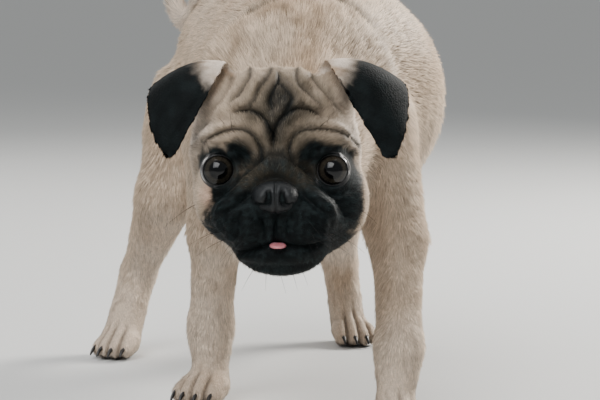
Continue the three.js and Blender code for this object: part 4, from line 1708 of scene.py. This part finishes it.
@dataclass(frozen=True)
class Lamp:
    """One soft square light."""

    name: str
    place: Triple
    power: float
    size: float
    tint: Triple

    def hang(self, aim: Triple) -> None:
        """Hangs the light in the scene, facing a place.

        Args:
            aim: the place that it faces.
        """
        lamp = bpy.data.lights.new(self.name, "AREA")
        lamp.energy = self.power
        lamp.size = self.size
        lamp.color = self.tint
        holder = stage_object(self.name, lamp)
        holder.location = self.place
        facing = Vector(aim) - Vector(self.place)
        holder.rotation_euler = facing.to_track_quat("-Z", "Y").to_euler()


@dataclass
class Studio:
    """The plain floor, the soft lights and the camera."""

    floor_reach: float = 60.0
    floor_colour: Triple = (0.55, 0.55, 0.54)
    floor_roughness: float = 0.9
    aim: Triple = (0.0, -0.05, 0.15)
    sky_colour: Triple = (0.80, 0.85, 0.88)
    sky_strength: float = 0.36
    eyes_to_camera: Triple = (-0.2436, -1.331, 0.11364)
    camera_tilt: float = math.radians(90.0 - 5.56)
    camera_turn: float = math.radians(-11.0)
    lamps: tuple[Lamp, ...] = (
        Lamp("key", (-0.75, -1.15, 1.45), 30.0, 1.5, (0.96, 0.98, 1.0)),
        Lamp("top", (0.1, 0.5, 2.0), 12.0, 1.6, (1.0, 1.0, 1.0)),
        Lamp("rim", (1.6, 0.8, 1.2), 85.0, 0.8, (1.0, 0.97, 0.92)),
        Lamp("back", (-0.9, 1.8, 1.1), 12.0, 1.2, (1.0, 0.98, 0.95)))

    def floor(self) -> bpy.types.Object:
        """Makes the wide pale floor.

        Returns:
            The floor, staged.
        """
        shape = bmesh.new()
        bmesh.ops.create_grid(shape, x_segments=1, y_segments=1, size=self.floor_reach)
        mesh = mesh_of(shape, "floor")
        floor = stage_object("floor", mesh)
        pale = bpy.data.materials.new("pale_floor")
        pale.use_nodes = True
        shader = pale.node_tree.nodes["Principled BSDF"]
        shader.inputs["Base Color"].default_value = (*self.floor_colour, 1.0)
        shader.inputs["Roughness"].default_value = self.floor_roughness
        mesh.materials.append(pale)
        return floor

    def lights(self) -> None:
        """Hangs the lights and sets the sky."""
        for lamp in self.lamps:
            lamp.hang(self.aim)
        self.sun()
        sky = bpy.data.worlds.new("sky")
        sky.use_nodes = True
        glow = sky.node_tree.nodes["Background"]
        glow.inputs["Color"].default_value = (*self.sky_colour, 1.0)
        glow.inputs["Strength"].default_value = self.sky_strength
        bpy.context.scene.world = sky

    def sun(self) -> None:
        """Sets the wide soft light that falls evenly on the whole floor."""
        lamp = bpy.data.lights.new("wide", "SUN")
        lamp.energy = 1.0
        lamp.angle = math.radians(40.0)
        lamp.color = (1.0, 0.98, 0.95)
        holder = stage_object("wide", lamp)
        holder.rotation_euler = (math.radians(38.0), 0.0, math.radians(-28.0))

    def camera(self) -> None:
        """Sets the camera low in front, a little to the dog's right."""
        lens = bpy.data.cameras.new("camera")
        lens.sensor_width = 36.0
        lens.lens = 135.0
        lens.clip_start = 0.05
        holder = stage_object("camera", lens)
        between_eyes = (node_centre("eye_left") + node_centre("eye_right")) / 2.0
        holder.location = between_eyes + self.eyes_to_camera
        holder.rotation_euler = (self.camera_tilt, 0.0, self.camera_turn)
        bpy.context.scene.camera = holder


def main() -> None:
    """Builds every piece in order."""
    logging.basicConfig(level=logging.INFO, format="%(name)s %(message)s")
    studio = Studio()
    studio.camera()
    studio.floor()
    studio.lights()
    grain = grain_group()
    hair, hide, wet, rim, leather, tongue, horn, whisker = (finish.build(grain) for finish in (
        HAIR, HIDE, WET_EYE, LID_RIM, NOSE_LEATHER, TONGUE, CLAW_HORN, WHISKER))
    skin = Skin(Markings())
    skin.piece(hide)
    coat = Coat(skin, Unwrap(skin))
    for i, patch in enumerate(PATCHES):
        coat.grow(patch, SEED + 100 + i, hair)
    surface = skin.search_tree()
    eyes = Eyes(surface)
    for name, side in SIDES.items():
        eyes.ball(name, side, wet)
        eyes.rim(name, side, rim)
    Nose().piece(leather)
    small = SmallParts()
    small.tongue(tongue)
    for paw in PAWS:
        small.claws(paw, horn)
    small.whiskers(surface, whisker)


if __name__ == "__main__":
    main()
